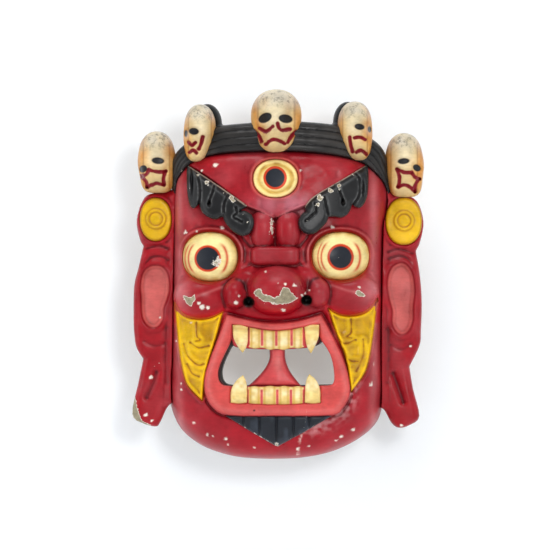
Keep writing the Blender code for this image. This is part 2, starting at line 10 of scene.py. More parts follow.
import bpy
import numpy as np
import openvdb
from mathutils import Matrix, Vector


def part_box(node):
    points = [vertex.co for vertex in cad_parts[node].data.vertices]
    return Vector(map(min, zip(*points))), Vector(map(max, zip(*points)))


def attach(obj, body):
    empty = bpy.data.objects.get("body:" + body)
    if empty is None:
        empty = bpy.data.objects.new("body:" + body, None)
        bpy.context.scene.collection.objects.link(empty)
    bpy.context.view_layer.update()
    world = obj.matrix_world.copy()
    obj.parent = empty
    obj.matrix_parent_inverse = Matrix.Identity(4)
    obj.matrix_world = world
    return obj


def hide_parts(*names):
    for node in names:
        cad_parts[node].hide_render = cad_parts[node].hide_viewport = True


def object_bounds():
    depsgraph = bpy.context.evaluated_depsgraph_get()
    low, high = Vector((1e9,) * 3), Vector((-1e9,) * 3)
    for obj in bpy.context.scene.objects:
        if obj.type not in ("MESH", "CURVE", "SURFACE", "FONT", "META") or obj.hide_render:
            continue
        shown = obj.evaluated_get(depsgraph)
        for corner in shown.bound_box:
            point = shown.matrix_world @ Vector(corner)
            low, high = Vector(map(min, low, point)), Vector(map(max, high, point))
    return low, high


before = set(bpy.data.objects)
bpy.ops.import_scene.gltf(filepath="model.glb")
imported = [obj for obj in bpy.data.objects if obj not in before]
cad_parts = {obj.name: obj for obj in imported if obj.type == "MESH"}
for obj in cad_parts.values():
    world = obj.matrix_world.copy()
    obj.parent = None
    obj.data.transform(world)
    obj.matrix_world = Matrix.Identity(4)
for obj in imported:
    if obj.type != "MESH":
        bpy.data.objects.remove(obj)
CAD_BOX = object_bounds()

MM = 0.001
FACE_TOP = 109.0  # height of the face block over the middle of the face, as in the CAD
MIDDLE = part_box("face_shell")[1][2] - FACE_TOP * MM
COARSE = 1.0

# ------------------------------------------------------------------ measurements

EDGE_DEPTH, CENTRE_DEPTH, BARREL_HALF_WIDTH = 20.0, 62.0, 101.0
WAIST_Z, RISE, DROP = -20.0, 129.0, 146.0

# Outlines are (x, z). A third value marks a sharp corner.
CROWN_INNER = (
    (-90.5, 77.8), (-87, 88), (-79, 97.4), (-64, 104.4), (-45, 107.8), (-23, 109.2), (0, 109.6), (24, 109),
    (55, 105.4), (78, 98.5), (90.5, 88.7), (98, 79),
)
FACE_SIDES = (
    (101, 66), (99, 52), (97, 38.7), (95.8, -24), (95.3, -69), (95.6, -105), (95, -120), (91, -133), (81.5, -143.5),
    (65.6, -153.8), (46, -161.6), (24, -165.8), (0, -167), (-24, -166.4), (-43, -163.6), (-62.6, -157.2),
    (-75, -150), (-84.5, -141.6), (-91.5, -130), (-95.3, -115), (-95.5, -95), (-94.5, -69), (-94, -24), (-92.8, 38.7),
)
FACE_OUTLINE = CROWN_INNER + FACE_SIDES
CROWN_OUTER = (
    (103.4, 74.3), (102, 92), (98, 108), (89.5, 118.6), (72, 128), (53.4, 133.4), (24, 136.2), (0, 136.8),
    (-38, 134), (-54.5, 131.4), (-70, 123.5), (-86.5, 113), (-94.6, 100), (-95.5, 85), (-92.7, 71),
)
MOUTH = (
    (-40.4, -60.7, 1), (-37, -66.5), (-20, -68.4), (0, -68.6), (20, -68), (35, -65.5), (38.1, -57.4, 1),
    (47.9, -72.6), (51.6, -87.9), (51.1, -98.8), (46, -101, 1), (20, -101.4), (-20, -101.4), (-40.4, -101.4),
    (-49.1, -99.9), (-52.4, -92.3), (-50.2, -81.4),
)
LIPS = (
    (-45.2, -36.7, 1), (-22, -42.5), (-1.2, -44.6), (20, -42.5), (40.2, -36.7, 1), (46, -47), (53.4, -61.7),
    (59.5, -75), (64.3, -90), (66.4, -107.6), (59.9, -121.7), (49, -128.3), (0, -128.9), (-42.6, -128.3),
    (-57.9, -120.6), (-64.4, -107.6), (-64.8, -93.3), (-60, -77), (-52.4, -57.4),
)
UPPER_ROW = ((-39.6, -46.4, 1), (-24, -48.6), (0, -51.8), (24, -48.4), (38.6, -46.2, 1), (41, -75, 1), (-42, -75, 1))
LOWER_ROW = ((-41.6, -95, 1), (39.6, -95, 1), (39.6, -116.5, 1), (0, -118), (-41.6, -116.5, 1))
TONGUE = (
    (-26, -102, 1), (-20.5, -97), (-12, -88), (-6.6, -78), (-6.4, -68), (-7, -64, 1), (8, -64, 1), (7.8, -68),
    (8.2, -78), (12, -88), (18.5, -97), (23, -102, 1),
)
BEARD = ((-46, -128.3, 1), (50, -128.3, 1), (26, -142.5), (0.5, -156.5, 1), (-24, -142))
PANELS = {
    "left": (
        (-91.8, -26.9, 1), (-85, -37), (-73.2, -41.5), (-60, -40.5), (-48.2, -35.2, 1), (-55, -60.5),
        (-63.5, -88), (-66.8, -114.5, 1), (-75, -106.5), (-81.8, -96.7), (-87.3, -72.6), (-90, -46.5),
    ),
    "right": (
        (91, -23.4, 1), (82, -34.5), (68.9, -38.7), (57, -37.5), (46.8, -32.2, 1), (53, -51.5), (62.5, -77),
        (67.2, -106.5, 1), (75, -96.5), (81.7, -83.6), (87.2, -55.3),
    ),
}
BROWS = {
    "left": (
        (-79.5, 97, 1), (-52, 78.6), (-29, 62.7), (-27, 59.6), (-33.4, 55.2, 1), (-28.4, 56), (-22, 52), (-20, 44.4),
        (-23.6, 35.8), (-30.9, 33.2), (-38.5, 36.8), (-45.6, 44.6), (-48.4, 50.4, 1), (-55, 48), (-62.5, 50.7),
        (-67.2, 55.4), (-69.8, 62.6, 1), (-73, 58.6), (-76.8, 59.2), (-79.4, 66), (-80.6, 77), (-80.8, 92),
    ),
    "right": (
        (82.2, 98.2, 1), (60, 84.8), (34, 69.4), (26, 60.4), (26.4, 55.6, 1), (23.4, 53.6), (20.2, 48.6), (20, 43),
        (22.6, 37.8), (28, 34.7), (34.4, 35.5), (40, 40), (44.8, 45.2), (46.9, 50.4, 1), (52, 50.4), (58.4, 49.8),
        (63.8, 52.6), (66.6, 57.2), (68.2, 61.8, 1), (71.4, 59.2), (75.6, 58.8), (79.8, 63.8), (82.2, 72), (83, 86),
    ),
}
BROW_TOPS = {"left": ((-81, 98), (-52, 78.6), (-26, 60)), "right": ((84, 99.2), (60, 84.8), (34, 69.4), (24, 58))}
BROW_LINES = {
    "left": (
        ((-71.5, 90), (-69.2, 80), (-68.8, 70), (-69.6, 62)), ((-56, 78), (-57.4, 72.5), (-59.6, 67), (-60.4, 62.5)),
        ((-43.4, 70), (-47, 62), (-47.4, 55)), ((-36.5, 59), (-35.6, 54), (-38.4, 50.4), (-31, 46)),
    ),
    "right": (
        ((69.4, 91), (74.2, 85.4), (75.4, 78), (74, 69), (69.6, 62)), ((55.5, 80.4), (56.1, 75.3), (58, 70.3), (60, 64.4)),
        ((43, 68), (44.2, 62.7), (45.4, 57), (46.6, 52.4)), ((34.4, 62.7), (35.6, 56), (32.6, 52.4), (26, 46.6)),
    ),
}
BROW_PITS = {
    "left": (((-76.2, 82.8), (1.1, 9.5)), ((-60.6, 62.4), (1.5, 2.4))),
    "right": (((77.9, 76.6), (1.1, 5.2)), ((60, 63.6), (1.6, 2.6))),
}
BROW_WEAR = {
    "left": ((-71, 88.4, 1.6), (-62.5, 81.4, 2.4), (-61.4, 78.6, 1.3), (-47.6, 72, 1.2),
             (-40.2, 67.4, 3.0), (-38.4, 64.6, 2.4), (-30, 52.8, 1.0), (-26.4, 45.4, 1.4)),
    "right": ((68.8, 88.4, 1.3), (56.2, 78.4, 2.3), (56.6, 75.4, 1.2), (48.4, 74, 3.1),
              (39.4, 67.4, 3.8), (36.8, 61.4, 2.4), (27, 47, 0.8)),
}
FOREHEAD = (
    (-80, 98.5, 1), (-52, 79), (-29.6, 61.5), (-13, 54.5), (-2.5, 49, 1), (9, 54), (27.2, 61), (52, 77),
    (83, 99, 1), (60, 122, 1), (-60, 122, 1),
)
PANEL_LINES = {
    "left": (
        ((-72, -44), (-71.5, -56), (-69, -60), (-72.5, -61.5)), ((-77, -62.5), (-70, -67), (-61, -65.5)),
        ((-83, -64), (-79.5, -75), (-71, -82.5), (-65.5, -82)), ((-80, -82), (-76, -90), (-70, -93)),
    ),
    "right": (
        ((67, -41), (67, -53), (64, -57), (67.5, -58.5)), ((54, -58.5), (61, -63.5), (71, -60)),
        ((60, -68), (65, -78), (73, -79.5)), ((78, -60), (78, -74), (72, -88)),
    ),
}
EARS = {
    "left": (
        (-88, 78, 1), (-95, 74.5), (-101, 72), (-109.1, 71.9), (-119, 67.5), (-125.7, 48.3), (-123, 31), (-119.5, 24.5, 1),
        (-124.4, 3.6), (-128, -12), (-128.6, -37), (-128, -55), (-125.7, -67.7), (-119.7, -77.4, 1),
        (-124, -98), (-129.8, -127.2), (-121, -135), (-109.4, -138.2), (-105.5, -134.5), (-98, -119.5),
        (-88, -115, 1),
    ),
    "right": (
        (92, 77, 1), (99.5, 75), (106, 71.5), (114.4, 70.5), (126.5, 64.5), (132.3, 46.6), (129.5, 29), (125.4, 19.8, 1),
        (129.3, -3.9), (130.8, -28), (130, -52), (128.8, -65.4), (119.6, -84.5, 1), (123, -105),
        (128.6, -129.2), (120, -137), (110.9, -139.3), (104.3, -135), (97.5, -123), (88, -118, 1),
    ),
}
EAR_BOWLS = {
    "left": ((-112, 6), (-103.5, 5), (-98.6, -2), (-97.4, -14), (-99.5, -23), (-102.4, -32),
             (-103, -41), (-108, -48), (-115, -47.5), (-120.4, -39), (-121.4, -22), (-122, -10), (-119, 1)),
    "right": ((112, 8.5), (104.5, 4), (101, -8), (102.4, -22), (105.4, -34), (105.4, -46), (111, -54.3), (118, -52.6),
              (122.4, -43), (122.6, -30), (124.2, -16), (122.5, -2), (118, 6)),
}
DISCS = {"left": (-109.0, 48.4, 14.4, 19.6), "right": (114.9, 46.7, 16.6, 21.5)}

# Eyes: centre (x, d, z), half sizes (x, d, z), turn outwards, pupil (x, z, radius, ring radius).
EYES = {
    "left": ((-59.6, 52.5, 14.5), (24.9, 16, 21.9), -11, (-61.8, 13.0, 10.2, 12.0)),
    "right": ((57.8, 53, 15.2), (25.8, 16, 21.4), 11, (57.6, 14.2, 9.9, 12.0)),
    "third": ((-0.9, 57.5, 84.9), (20.1, 8.5, 17.1), 0, (-1.2, 85.5, 8.6, 10.5)),
}

# Bare patches on the nose, the cheeks and the left ear's lobe, where the paint is knocked off.
FACE_PATCHES = (
    ((-20.8, -17), (-15, -14.3), (-11.5, -18.5), (-5, -21.5), (1, -21), (4, -15.5), (8, -13.2), (12, -14.5),
     (14.5, -19.5), (18, -23.5), (11, -26.5), (3, -28.3), (-8, -27), (-16, -23)),
    ((-84.4, -19.4), (-79, -21.4), (-73.6, -19.6), (-74.4, -25), (-77.6, -30), (-81.2, -25.6)),
    ((71, -15.5), (76, -16.5), (79.5, -20), (76, -21.5), (72, -19)),
)
LOBE_PATCH = ((-129.5, -112), (-126.5, -114), (-122, -131), (-113, -137.5), (-122, -138), (-131, -128))
# Small chips that show the white primer: x, z and radius.
CHIPS = (
    (-55.1, 96.7, 1.9), (-48.7, 40.4, 1.4), (-82.1, 36.4, 1.3), (-72, 37.7, 0.8), (-10.1, 1.6, 1.0), (1.5, -9, 0.7),
    (7.6, -10.2, 1.0), (16.3, -11, 1.4), (-36.4, -26.7, 1.7), (-33.4, -20.4, 0.9), (-66.6, -30.4, 2.5),
    (-69.4, -27.6, 1.4), (-61.6, -31.2, 1.5), (-76.8, -44.4, 0.9), (-90.5, -61.3, 0.9), (-62.6, -145.8, 1.3),
    (-57.2, -146.7, 0.8), (-45.7, -149.3, 1.4), (-43.9, -154.7, 0.9), (-19.9, -157.3, 0.9), (-85.7, -99.5, 0.8),
    (-86.2, -104.9, 0.8), (-74.1, -135.1, 0.9), (-113.3, -94.2, 1.6), (19.3, -158.2, 1.4), (20.4, -162, 1.0),
    (29.1, -155.6, 0.8), (53.1, -151.1, 0.9), (58.5, -147.2, 1.1), (69.2, -141.3, 1.2), (85.2, -100.4, 1.2),
    (88.8, -81.7, 0.9), (112.8, -137.8, 1.3), (-112.4, -133.3, 1.0), (29.3, -15.4, 0.9), (25.5, -18.5, 1.0),
    (23.2, -20.2, 1.0), (6.2, -33.6, 1.7), (74.4, -12.5, 0.9), (50.6, 41.4, 1.3), (-4.4, 44, 1.2), (-4.2, 40, 1.0),
    (-67, 92, 0.8), (21.6, 92, 0.7), (-118, -128, 1.6), (-105, -40, 0.7), (-124, 12, 0.8), (121, -66, 0.9),
)

# Skulls: cranium and jaw, each centre (x, d, z) and half sizes, then painted eyes and lines.
SKULLS = {
    "center": {
        "cranium": ((-0.2, 50, 141), (22.9, 27, 24.2)),
        "jaw": ((-1.0, 52, 122), (15.0, 23, 13.4)),
        "eyes": (((-10.2, 139.2), (6.3, 4.2), 25), ((8.2, 138.4), (6.3, 3.9), -8)),
        "lines": (
            ((-15, 130), (-9.5, 126.9), (-3.5, 131.2)), ((0.8, 134.2), (4, 128.3), (12.4, 129.2)),
            ((-20.2, 127.6), (-16, 123.6), (-13.5, 118)), ((17.8, 127), (13.4, 123), (10.4, 117.5)),
            ((-9.5, 115.6), (-5, 118.9), (-1.7, 119.6), (2.5, 118.7), (7.3, 116.2)),
        ),
        "jaw_power": 2.4,
        "facets": 20.5,
    },
    "upper_left": {
        "cranium": ((-68.8, 37, 131), (14.2, 21, 21.0)),
        "jaw": ((-72.6, 40, 114), (9.3, 18, 13.6)),
        "eyes": (((-74.3, 127.3), (4.6, 3.1), -5), ((-81.4, 125.6), (1.6, 3.2), 0)),
        "lines": (
            ((-79, 117.5), (-76, 114.8), (-72.8, 117.2)), ((-66, 122.5), (-67.5, 116), (-69.8, 111.6)),
            ((-78, 108.6), (-75, 110.2), (-71.8, 108)),
        ),
        "jaw_power": 2.4,
        "facets": 0,
    },
    "upper_right": {
        "cranium": ((70.6, 37, 133.2), (15.4, 21, 21.4)),
        "jaw": ((74.6, 40, 115.2), (10.0, 18, 13.8)),
        "eyes": (((74.7, 131.4), (4.6, 2.8), -8), ((83.8, 129.2), (1.7, 2.8), 0)),
        "lines": (
            ((70, 121.4), (75, 122), (79.6, 120)), ((66, 121.7), (66.6, 115), (68.4, 108.8)),
            ((72, 108.4), (76, 110.4), (80.6, 107)),
        ),
        "jaw_power": 2.4,
        "facets": 0,
    },
    "lower_left": {
        "cranium": ((-108.2, 15, 106), (16.4, 18, 22.0)),
        "jaw": ((-107.4, 15, 89), (14.9, 17, 16.8)),
        "eyes": (((-106.8, 101.2), (5.7, 3.0), -5), ((-120.2, 93.9), (3.7, 3.2), 30)),
        "lines": (
            ((-115, 93.2), (-107, 90.8), (-99.7, 91.8)), ((-99.7, 91.8), (-101.8, 85.5), (-101.3, 79.2)),
            ((-101.3, 79.2), (-109, 80.6), (-116.6, 77.4)), ((-116.6, 77.4), (-118, 83), (-122.3, 87.4)),
            ((-122.3, 87.4), (-117.5, 88.6), (-115, 93.2)),
        ),
        "jaw_power": 3.4,
        "facets": 0,
    },
    "lower_right": {
        "cranium": ((115.2, 15, 104), (16.6, 18, 22.4)),
        "jaw": ((116.4, 15, 86), (15.2, 17, 17.6)),
        "eyes": (((114.6, 100.8), (5.4, 2.7), 5), ((126.6, 94.8), (3.8, 3.0), -30)),
        "lines": (
            ((108.6, 93.7), (115, 91), (122, 90.4)), ((122, 90.4), (124.6, 86.6), (129.0, 85)),
            ((129.0, 85), (125.2, 79.5), (124.7, 73.4)), ((124.7, 73.4), (117, 79.2), (109.4, 77.6)),
            ((109.4, 77.6), (111, 85), (108.6, 93.7)),
        ),
        "jaw_power": 3.4,
        "facets": 0,
    },
}

# Paint colours, as sRGB from 0 to 255.
# The second red is painted shade, laid into creases and recesses of the red paint.
RED, SHADE_RED, PINK, EAR_PINK = (158, 17, 29), (112, 6, 20), (208, 76, 72), (206, 104, 98)
YELLOW, OCHRE, CREAM, GOLD = (244, 194, 2), (176, 118, 12), (246, 228, 160), (205, 158, 62)
BLACK, PUPIL, ORANGE, TOOTH = (28, 28, 29), (30, 34, 42), (206, 62, 24), (246, 224, 154)
BONE, AMBER, SKULL_RED = (208, 188, 142), (204, 134, 54), (130, 10, 26)

UNWORN = -3.0  # the "bare" value of whole paint; it is knocked off where the value passes 0
FLAT = np.zeros(1, dtype=np.float32)  # a depth of 0, for noise that doesn't change with depth
FLAT_GRID = np.zeros((1, 1, 1))


# ------------------------------------------------------------------ field helpers


def linear(colour):
    c = np.array(colour, dtype=np.float32) / 255
    return np.where(c <= 0.04045, c / 12.92, ((c + 0.055) / 1.055) ** 2.4)


def smooth_max(a, b, k):
    h = np.maximum(k - np.abs(a - b), 0) / k
    return np.maximum(a, b) + h * h * k / 4


def smooth_min(a, b, k):
    return -smooth_max(-a, -b, k)


def ease(t):
    """0 below t = -1, 1 above t = 1."""
    t = np.clip(0.5 + 0.5 * t, 0, 1)
    return t * t * (3 - 2 * t)


def bell(t):
    return np.exp(-np.square(t))


def smoothed(outline, closed=True, steps=4):
    """Points along a smooth curve through the outline, with its corners kept."""
    knots = [np.array(p[:2], dtype=float) for p in outline]
    sharp = [len(p) > 2 for p in outline]
    count = len(knots)
    last = count if closed else count - 1
    made = []
    for i in range(last):
        a, b = knots[i], knots[(i + 1) % count]
        before = knots[i - 1] if closed or i else a
        after = knots[(i + 2) % count] if closed or i + 2 < count else b
        start = b - a if sharp[i] else (b - before) / 2
        end = b - a if sharp[(i + 1) % count] else (after - a) / 2
        for t in np.arange(steps) / steps:
            made.append(
                (2 * t**3 - 3 * t**2 + 1) * a + (t**3 - 2 * t**2 + t) * start
                + (3 * t**2 - 2 * t**3) * b + (t**3 - t**2) * end
            )
    if not closed:
        made.append(knots[-1])
    return made


def segment_distance2(a, b, x, z):
    ex, ez = b[0] - a[0], b[1] - a[1]
    t = np.clip(((x - a[0]) * ex + (z - a[1]) * ez) / max(ex * ex + ez * ez, 1e-9), 0, 1)
    return (x - a[0] - t * ex) ** 2 + (z - a[1] - t * ez) ** 2


def region(outline, x, z):
    """Signed distance to a closed outline, negative inside."""
    points = smoothed(outline)
    near = np.full(np.broadcast(x, z).shape, 1e9, dtype=np.float32)
    inside = np.zeros(near.shape, dtype=bool)
    for a, b in zip(points, points[1:] + points[:1]):
        near = np.minimum(near, segment_distance2(a, b, x, z))
        if a[1] != b[1]:
            crosses = (z < a[1]) != (z < b[1])
            inside ^= crosses & (x < a[0] + (z - a[1]) * (b[0] - a[0]) / (b[1] - a[1]))
    return np.where(inside, -np.sqrt(near), np.sqrt(near)).astype(np.float32)


def line(places, x, z):
    """Distance to a smooth open line."""
    points = smoothed(places, closed=False)
    near = np.full(np.broadcast(x, z).shape, 1e9, dtype=np.float32)
    for a, b in zip(points, points[1:]):
        near = np.minimum(near, segment_distance2(a, b, x, z))
    return np.sqrt(near)


def oval(centre, half, x, z, tilt=0.0, power=2.0):
    """About the signed distance to an oval, in millimetres."""
    c, s = math.cos(math.radians(tilt)), math.sin(math.radians(tilt))
    u, v = x - centre[0], z - centre[1]
    u, v = u * c + v * s, v * c - u * s
    reach = (np.abs(u / half[0]) ** power + np.abs(v / half[1]) ** power) ** (1 / power)
    return (reach - 1) * min(half)


def ball(centre, half, x, d, z, power=2.0, turn=0.0):
    """About the signed distance to a ball or rounded block, turned about the vertical."""
    c, s = math.cos(math.radians(turn)), math.sin(math.radians(turn))
    u, v = x - centre[0], d - centre[1]
    u, v = u * c + v * s, v * c - u * s
    w = z - centre[2]
    reach = (np.abs(u / half[0]) ** power + np.abs(v / half[1]) ** power + np.abs(w / half[2]) ** power) ** (1 / power)
    return (reach - 1) * min(half)


LATTICE = np.random.default_rng(11).random((32, 32, 32)).astype(np.float32)


def lumps(x, d, z, size):
    """Smooth noise from -1 to 1 with lumps of this size."""
    cells, shares = [], []
    for value in (x, d, z):
        cell = np.floor(value / size).astype(int)
        t = value / size - cell
        cells.append(cell % 32)
        shares.append(t * t * (3 - 2 * t))
    total = 0
    for i in (0, 1):
        for j in (0, 1):
            for k in (0, 1):
                corner = LATTICE[(cells[0] + i) % 32, (cells[1] + j) % 32, (cells[2] + k) % 32]
                weight = 1
                for bit, share in zip((i, j, k), shares):
                    weight = weight * (share if bit else 1 - share)
                total = total + corner * weight
    return total * 2 - 1


# ------------------------------------------------------------------ mesh making


def field_mesh(name, low, high, step, field):
    """A mesh of the surface where field is 0, on a grid over the box from low to high."""
    step = step * COARSE
    axes = [np.arange(low[i] - 2 * step, high[i] + 2.5 * step, step, dtype=np.float32) for i in range(3)]
    x, d, z = axes[0][:, None, None], axes[1][None, :, None], axes[2][None, None, :]
    values = np.broadcast_to(field(x, d, z), (len(axes[0]), len(axes[1]), len(axes[2])))
    band = 4 * step
    grid = openvdb.FloatGrid(background=float(band))
    grid.copyFromArray(np.ascontiguousarray(np.clip(values, -band, band), dtype=np.float32))
    points, triangles, quads = grid.convertToPolygons(isovalue=0.0, adaptivity=0.0)
    points = points * step + np.array([axes[0][0], axes[1][0], axes[2][0]])
    faces = [tuple(face) for face in quads] + [tuple(face) for face in triangles]
    mesh = bpy.data.meshes.new(name)
    world = np.stack([points[:, 0] * MM, -points[:, 1] * MM, points[:, 2] * MM + MIDDLE], axis=1)
    mesh.from_pydata(world.tolist(), [], faces)
    mesh.update()
    return mesh


def signed_volume(mesh):
    mesh.calc_loop_triangles()
    count = len(mesh.loop_triangles)
    corners = np.empty(count * 3, dtype=np.int32)
    mesh.loop_triangles.foreach_get("vertices", corners)
    places = world_points(mesh)[corners].reshape(count, 3, 3)
    return float(np.einsum("ij,ij->i", places[:, 0], np.cross(places[:, 1], places[:, 2])).sum())


def world_points(mesh):
    flat = np.empty(len(mesh.vertices) * 3, dtype=np.float32)
    mesh.vertices.foreach_get("co", flat)
    return flat.reshape(-1, 3)


def mask_points(mesh):
    """x, d and z of the mesh's vertices in millimetres."""
    places = world_points(mesh)
    return places[:, 0] / MM, -places[:, 1] / MM, (places[:, 2] - MIDDLE) / MM


def curvature(mesh, rounds=3):
    """About -1 in creases and 1 on edges, at each vertex."""
    edges = np.empty(len(mesh.edges) * 2, dtype=np.int32)
    mesh.edges.foreach_get("vertices", edges)
    a, b = edges.reshape(-1, 2).T
    places = world_points(mesh)
    normals = np.empty(len(places) * 3, dtype=np.float32)
    mesh.vertex_normals.foreach_get("vector", normals)
    normals = normals.reshape(-1, 3)
    degree = np.bincount(a, minlength=len(places)) + np.bincount(b, minlength=len(places))

    def average(values):
        total = np.bincount(a, weights=values[b], minlength=len(places))
        return (total + np.bincount(b, weights=values[a], minlength=len(places))) / degree

    middle = np.stack([average(places[:, i]) for i in range(3)], axis=1)
    bend = np.einsum("ij,ij->i", places - middle, normals) / MM
    for _ in range(rounds):
        bend = 0.4 * bend + 0.6 * average(bend)
    return np.clip(bend * 14, -1, 1)


def set_values(mesh, name, values):
    mesh.attributes.new(name, "FLOAT", "POINT").data.foreach_set("value", np.asarray(values, dtype=np.float32))


def mix(base, colour, share):
    share = np.clip(share, 0, 1)[:, None]
    return base * (1 - share) + linear(colour) * share


def coat(colour, x):
    """One colour for every vertex."""
    return np.tile(linear(colour), (len(x), 1))


def sculpt(name, nodes, box, step, field, paint, material, most=190000):
    """A carved and painted piece that stands for its CAD nodes."""
    mesh = field_mesh(name, box[0], box[1], step, field)
    if signed_volume(mesh) < 0:
        mesh.flip_normals()
    piece = bpy.data.objects.new(name, mesh)
    bpy.context.scene.collection.objects.link(piece)
    triangles = 2 * len(mesh.polygons)
    if triangles > most:
        thin = piece.modifiers.new("fewer_triangles", "DECIMATE")
        thin.ratio = most / triangles
        shaped = piece.evaluated_get(bpy.context.evaluated_depsgraph_get())
        piece.modifiers.clear()
        piece.data = bpy.data.meshes.new_from_object(shaped)
        mesh = piece.data
    mesh.shade_smooth()
    x, d, z = mask_points(mesh)
    bend = curvature(mesh)
    made = {"bare": np.full(len(x), UNWORN), "wood": np.zeros(len(x)), "dirt": np.zeros(len(x))}
    made.update(paint(x, d, z, bend))
    rgba = np.concatenate([made["paint"], np.ones((len(x), 1))], axis=1).astype(np.float32)
    mesh.attributes.new("paint", "FLOAT_COLOR", "POINT").data.foreach_set("color", rgba.ravel())
    for key in ("bare", "wood", "dirt"):
        set_values(mesh, key, made[key])
    set_values(mesh, "edge", np.clip(bend, 0, 1))
    # The crease value darkens the paint in the materials: painted shade in creases.
    set_values(mesh, "crease", np.clip(-bend, 0, 1))
    mesh.materials.clear()
    mesh.materials.append(material)
    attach(piece, "mask")
    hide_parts(*nodes)
    return piece


# ------------------------------------------------------------------ shape of the face


def barrel(x, z):
    side = np.sqrt(np.maximum(1 - (x / BARREL_HALF_WIDTH) ** 2, 0))
    up = z - WAIST_Z
    lift = np.where(up > 0, 1 - 0.25 * (up / RISE) ** 2, 1 - 0.30 * (up / DROP) ** 2)
    return EDGE_DEPTH + (CENTRE_DEPTH - EDGE_DEPTH) * side * lift


def rounding(z):
    """How softly the front turns down to the sides: tight at the crown, broad at the chin."""
    return 12 + 14 * ease((50 - z) / 30) + 14 * ease((-118 - z) / 22)


def skin(x, z):
    """Depth of the face's plain front with its rounded edge, which the laid-on pieces follow."""
    inset = np.clip(-region(FACE_OUTLINE, x, z), 0, None)
    k = rounding(z)
    return barrel(x, z) - (np.sqrt(k) - np.sqrt(np.minimum(inset, k))) ** 2


SWELLINGS = (
    # centre (x, d, z), half sizes (x, d, z), power, turn, softness of the joint
    ((-67, 45, -22), (25.5, 25, 20.5), 2.2, -9, 9),
    ((67, 45, -19.5), (25.5, 25, 20.5), 2.2, 9, 9),
    ((-37.2, 60, -18.8), (10.6, 16, 13.0), 2.1, 0, 3.5),
    ((37.2, 60, -17.8), (10.6, 16, 13.0), 2.1, 0, 3.5),
    ((-26, 52, -3), (12, 17, 9.5), 2.0, 0, 7.0),
    ((26, 52, -2.5), (12, 17, 9.5), 2.0, 0, 7.0),
    ((0.5, 62, -15.5), (25.8, 36, 21.8), 2.2, 0, 5.0),
    ((-12.4, 52, 38.5), (11.4, 17, 18.6), 2.5, 0, 2.0),
    ((10.4, 52, 38.5), (11.4, 17, 18.6), 2.5, 0, 2.0),
    ((-1.2, 54.5, 15.4), (21.6, 14.5, 8.4), 5.5, 0, 2.0),
)
NOSTRILS = ((-25.0, 82, -26.3), (27.0, 82, -24.6))
FOLDS = (
    # line, depth and half width of a carved fold
    (((-33, -4), (-42, -9), (-54, -12), (-66, -12.5)), 1.8, 2.2),
    (((34, -3), (43, -8), (54, -10.5), (66, -10)), 1.8, 2.2),
    (((-46.5, -34), (-47, -22), (-46, -12), (-42, -6.5), (-36, -4.8), (-31, -7.5), (-28, -14)), 2.4, 1.5),
    (((47, -33), (47.5, -21), (46.5, -11), (42.5, -5.5), (37, -3.8), (32, -6.5), (29.5, -13)), 2.4, 1.5),
    (((-24, 24), (-29, 30), (-34, 38)), 1.4, 1.8),
    (((21, 24), (26, 30), (30, 37)), 1.4, 1.8),
    (((-23, 8), (-30, 2), (-36, -4)), 1.6, 1.8),
    (((21, 8), (28, 2), (35, -3)), 1.6, 1.8),
    (((-1.4, 24), (-1.4, 50)), 3.0, 1.8),
)
RIDGES = (
    (((-38.5, 34), (-34, 28), (-31, 22), (-31, 12)), 1.2, 1.2),
    (((36, 34), (31.5, 28), (28.5, 22), (28.5, 12)), 1.2, 1.2),
    (((-86, -1), (-91, -9)), 1.0, 1.2),
    (((86, 0), (91, -7)), 1.0, 1.2),
    (((-49, -12.5), (-59.3, -16.6), (-71.9, -21.1)), 1.0, 2.0),
    (((50, -11), (60, -14.5), (70, -17)), 1.0, 2.0),
    (((-31, 62), (-13, 55.4), (-2.5, 50.2), (9, 54.8), (27, 61.8)), 0.9, 0.9),
)


def eye_oval(side, x, z):
    centre, half, turn, _ = EYES[side]
    return oval((centre[0], centre[2]), (half[0] * math.cos(math.radians(turn)), half[2]), x, z, power=2.2)


def panel_edge(x, z):
    """Signed distance to the nearer cheek panel."""
    return np.minimum(region(PANELS["left"], x, z), region(PANELS["right"], x, z))


def face_front(x, z):
    s = barrel(x, z) + 5 * ease(-region(FOREHEAD, x, z) / 1.4)
    for side, near, wide in (("left", 3.6, 1.4), ("right", 3.6, 1.4), ("third", 1.5, 1.1)):
        rim = eye_oval(side, x, z)
        above = 0.3 + 0.7 * ease((z - EYES[side][0][2] + 4) / 12)
        s = s + 1.7 * above * bell((rim - near) / wide) - 1.0 * above * bell((rim - 1.2) / 1.0)
        s = s - 6.5 * ease((0.2 - rim) / 0.8)
    for side in ("left", "right"):
        panel = region(PANELS[side], x, z)
        s = s + 1.4 * bell((panel - 2.0) / 1.1) - 1.0 * bell((panel - 0.2) / 0.8)
    s = s - 2.0 * bell((region(LIPS, x, z) - 1.4) / 1.4)
    for places, depth, width in FOLDS:
        s = s - depth * bell(line(places, x, z) / width)
    for places, height, width in RIDGES:
        s = s + height * bell(line(places, x, z) / width)
    flat = np.zeros((1,) * s.ndim, dtype=np.float32)
    return s + 0.35 * lumps(x, flat, z, 11) + 0.22 * lumps(x, flat + 50, z, 4.5)


def face_hollow(x, d, z):
    inner = smooth_max(region(FACE_OUTLINE, x, z) + 14.5, d - (barrel(x, z) - 13), 24)
    return smooth_max(inner, z - 75.5, 8)


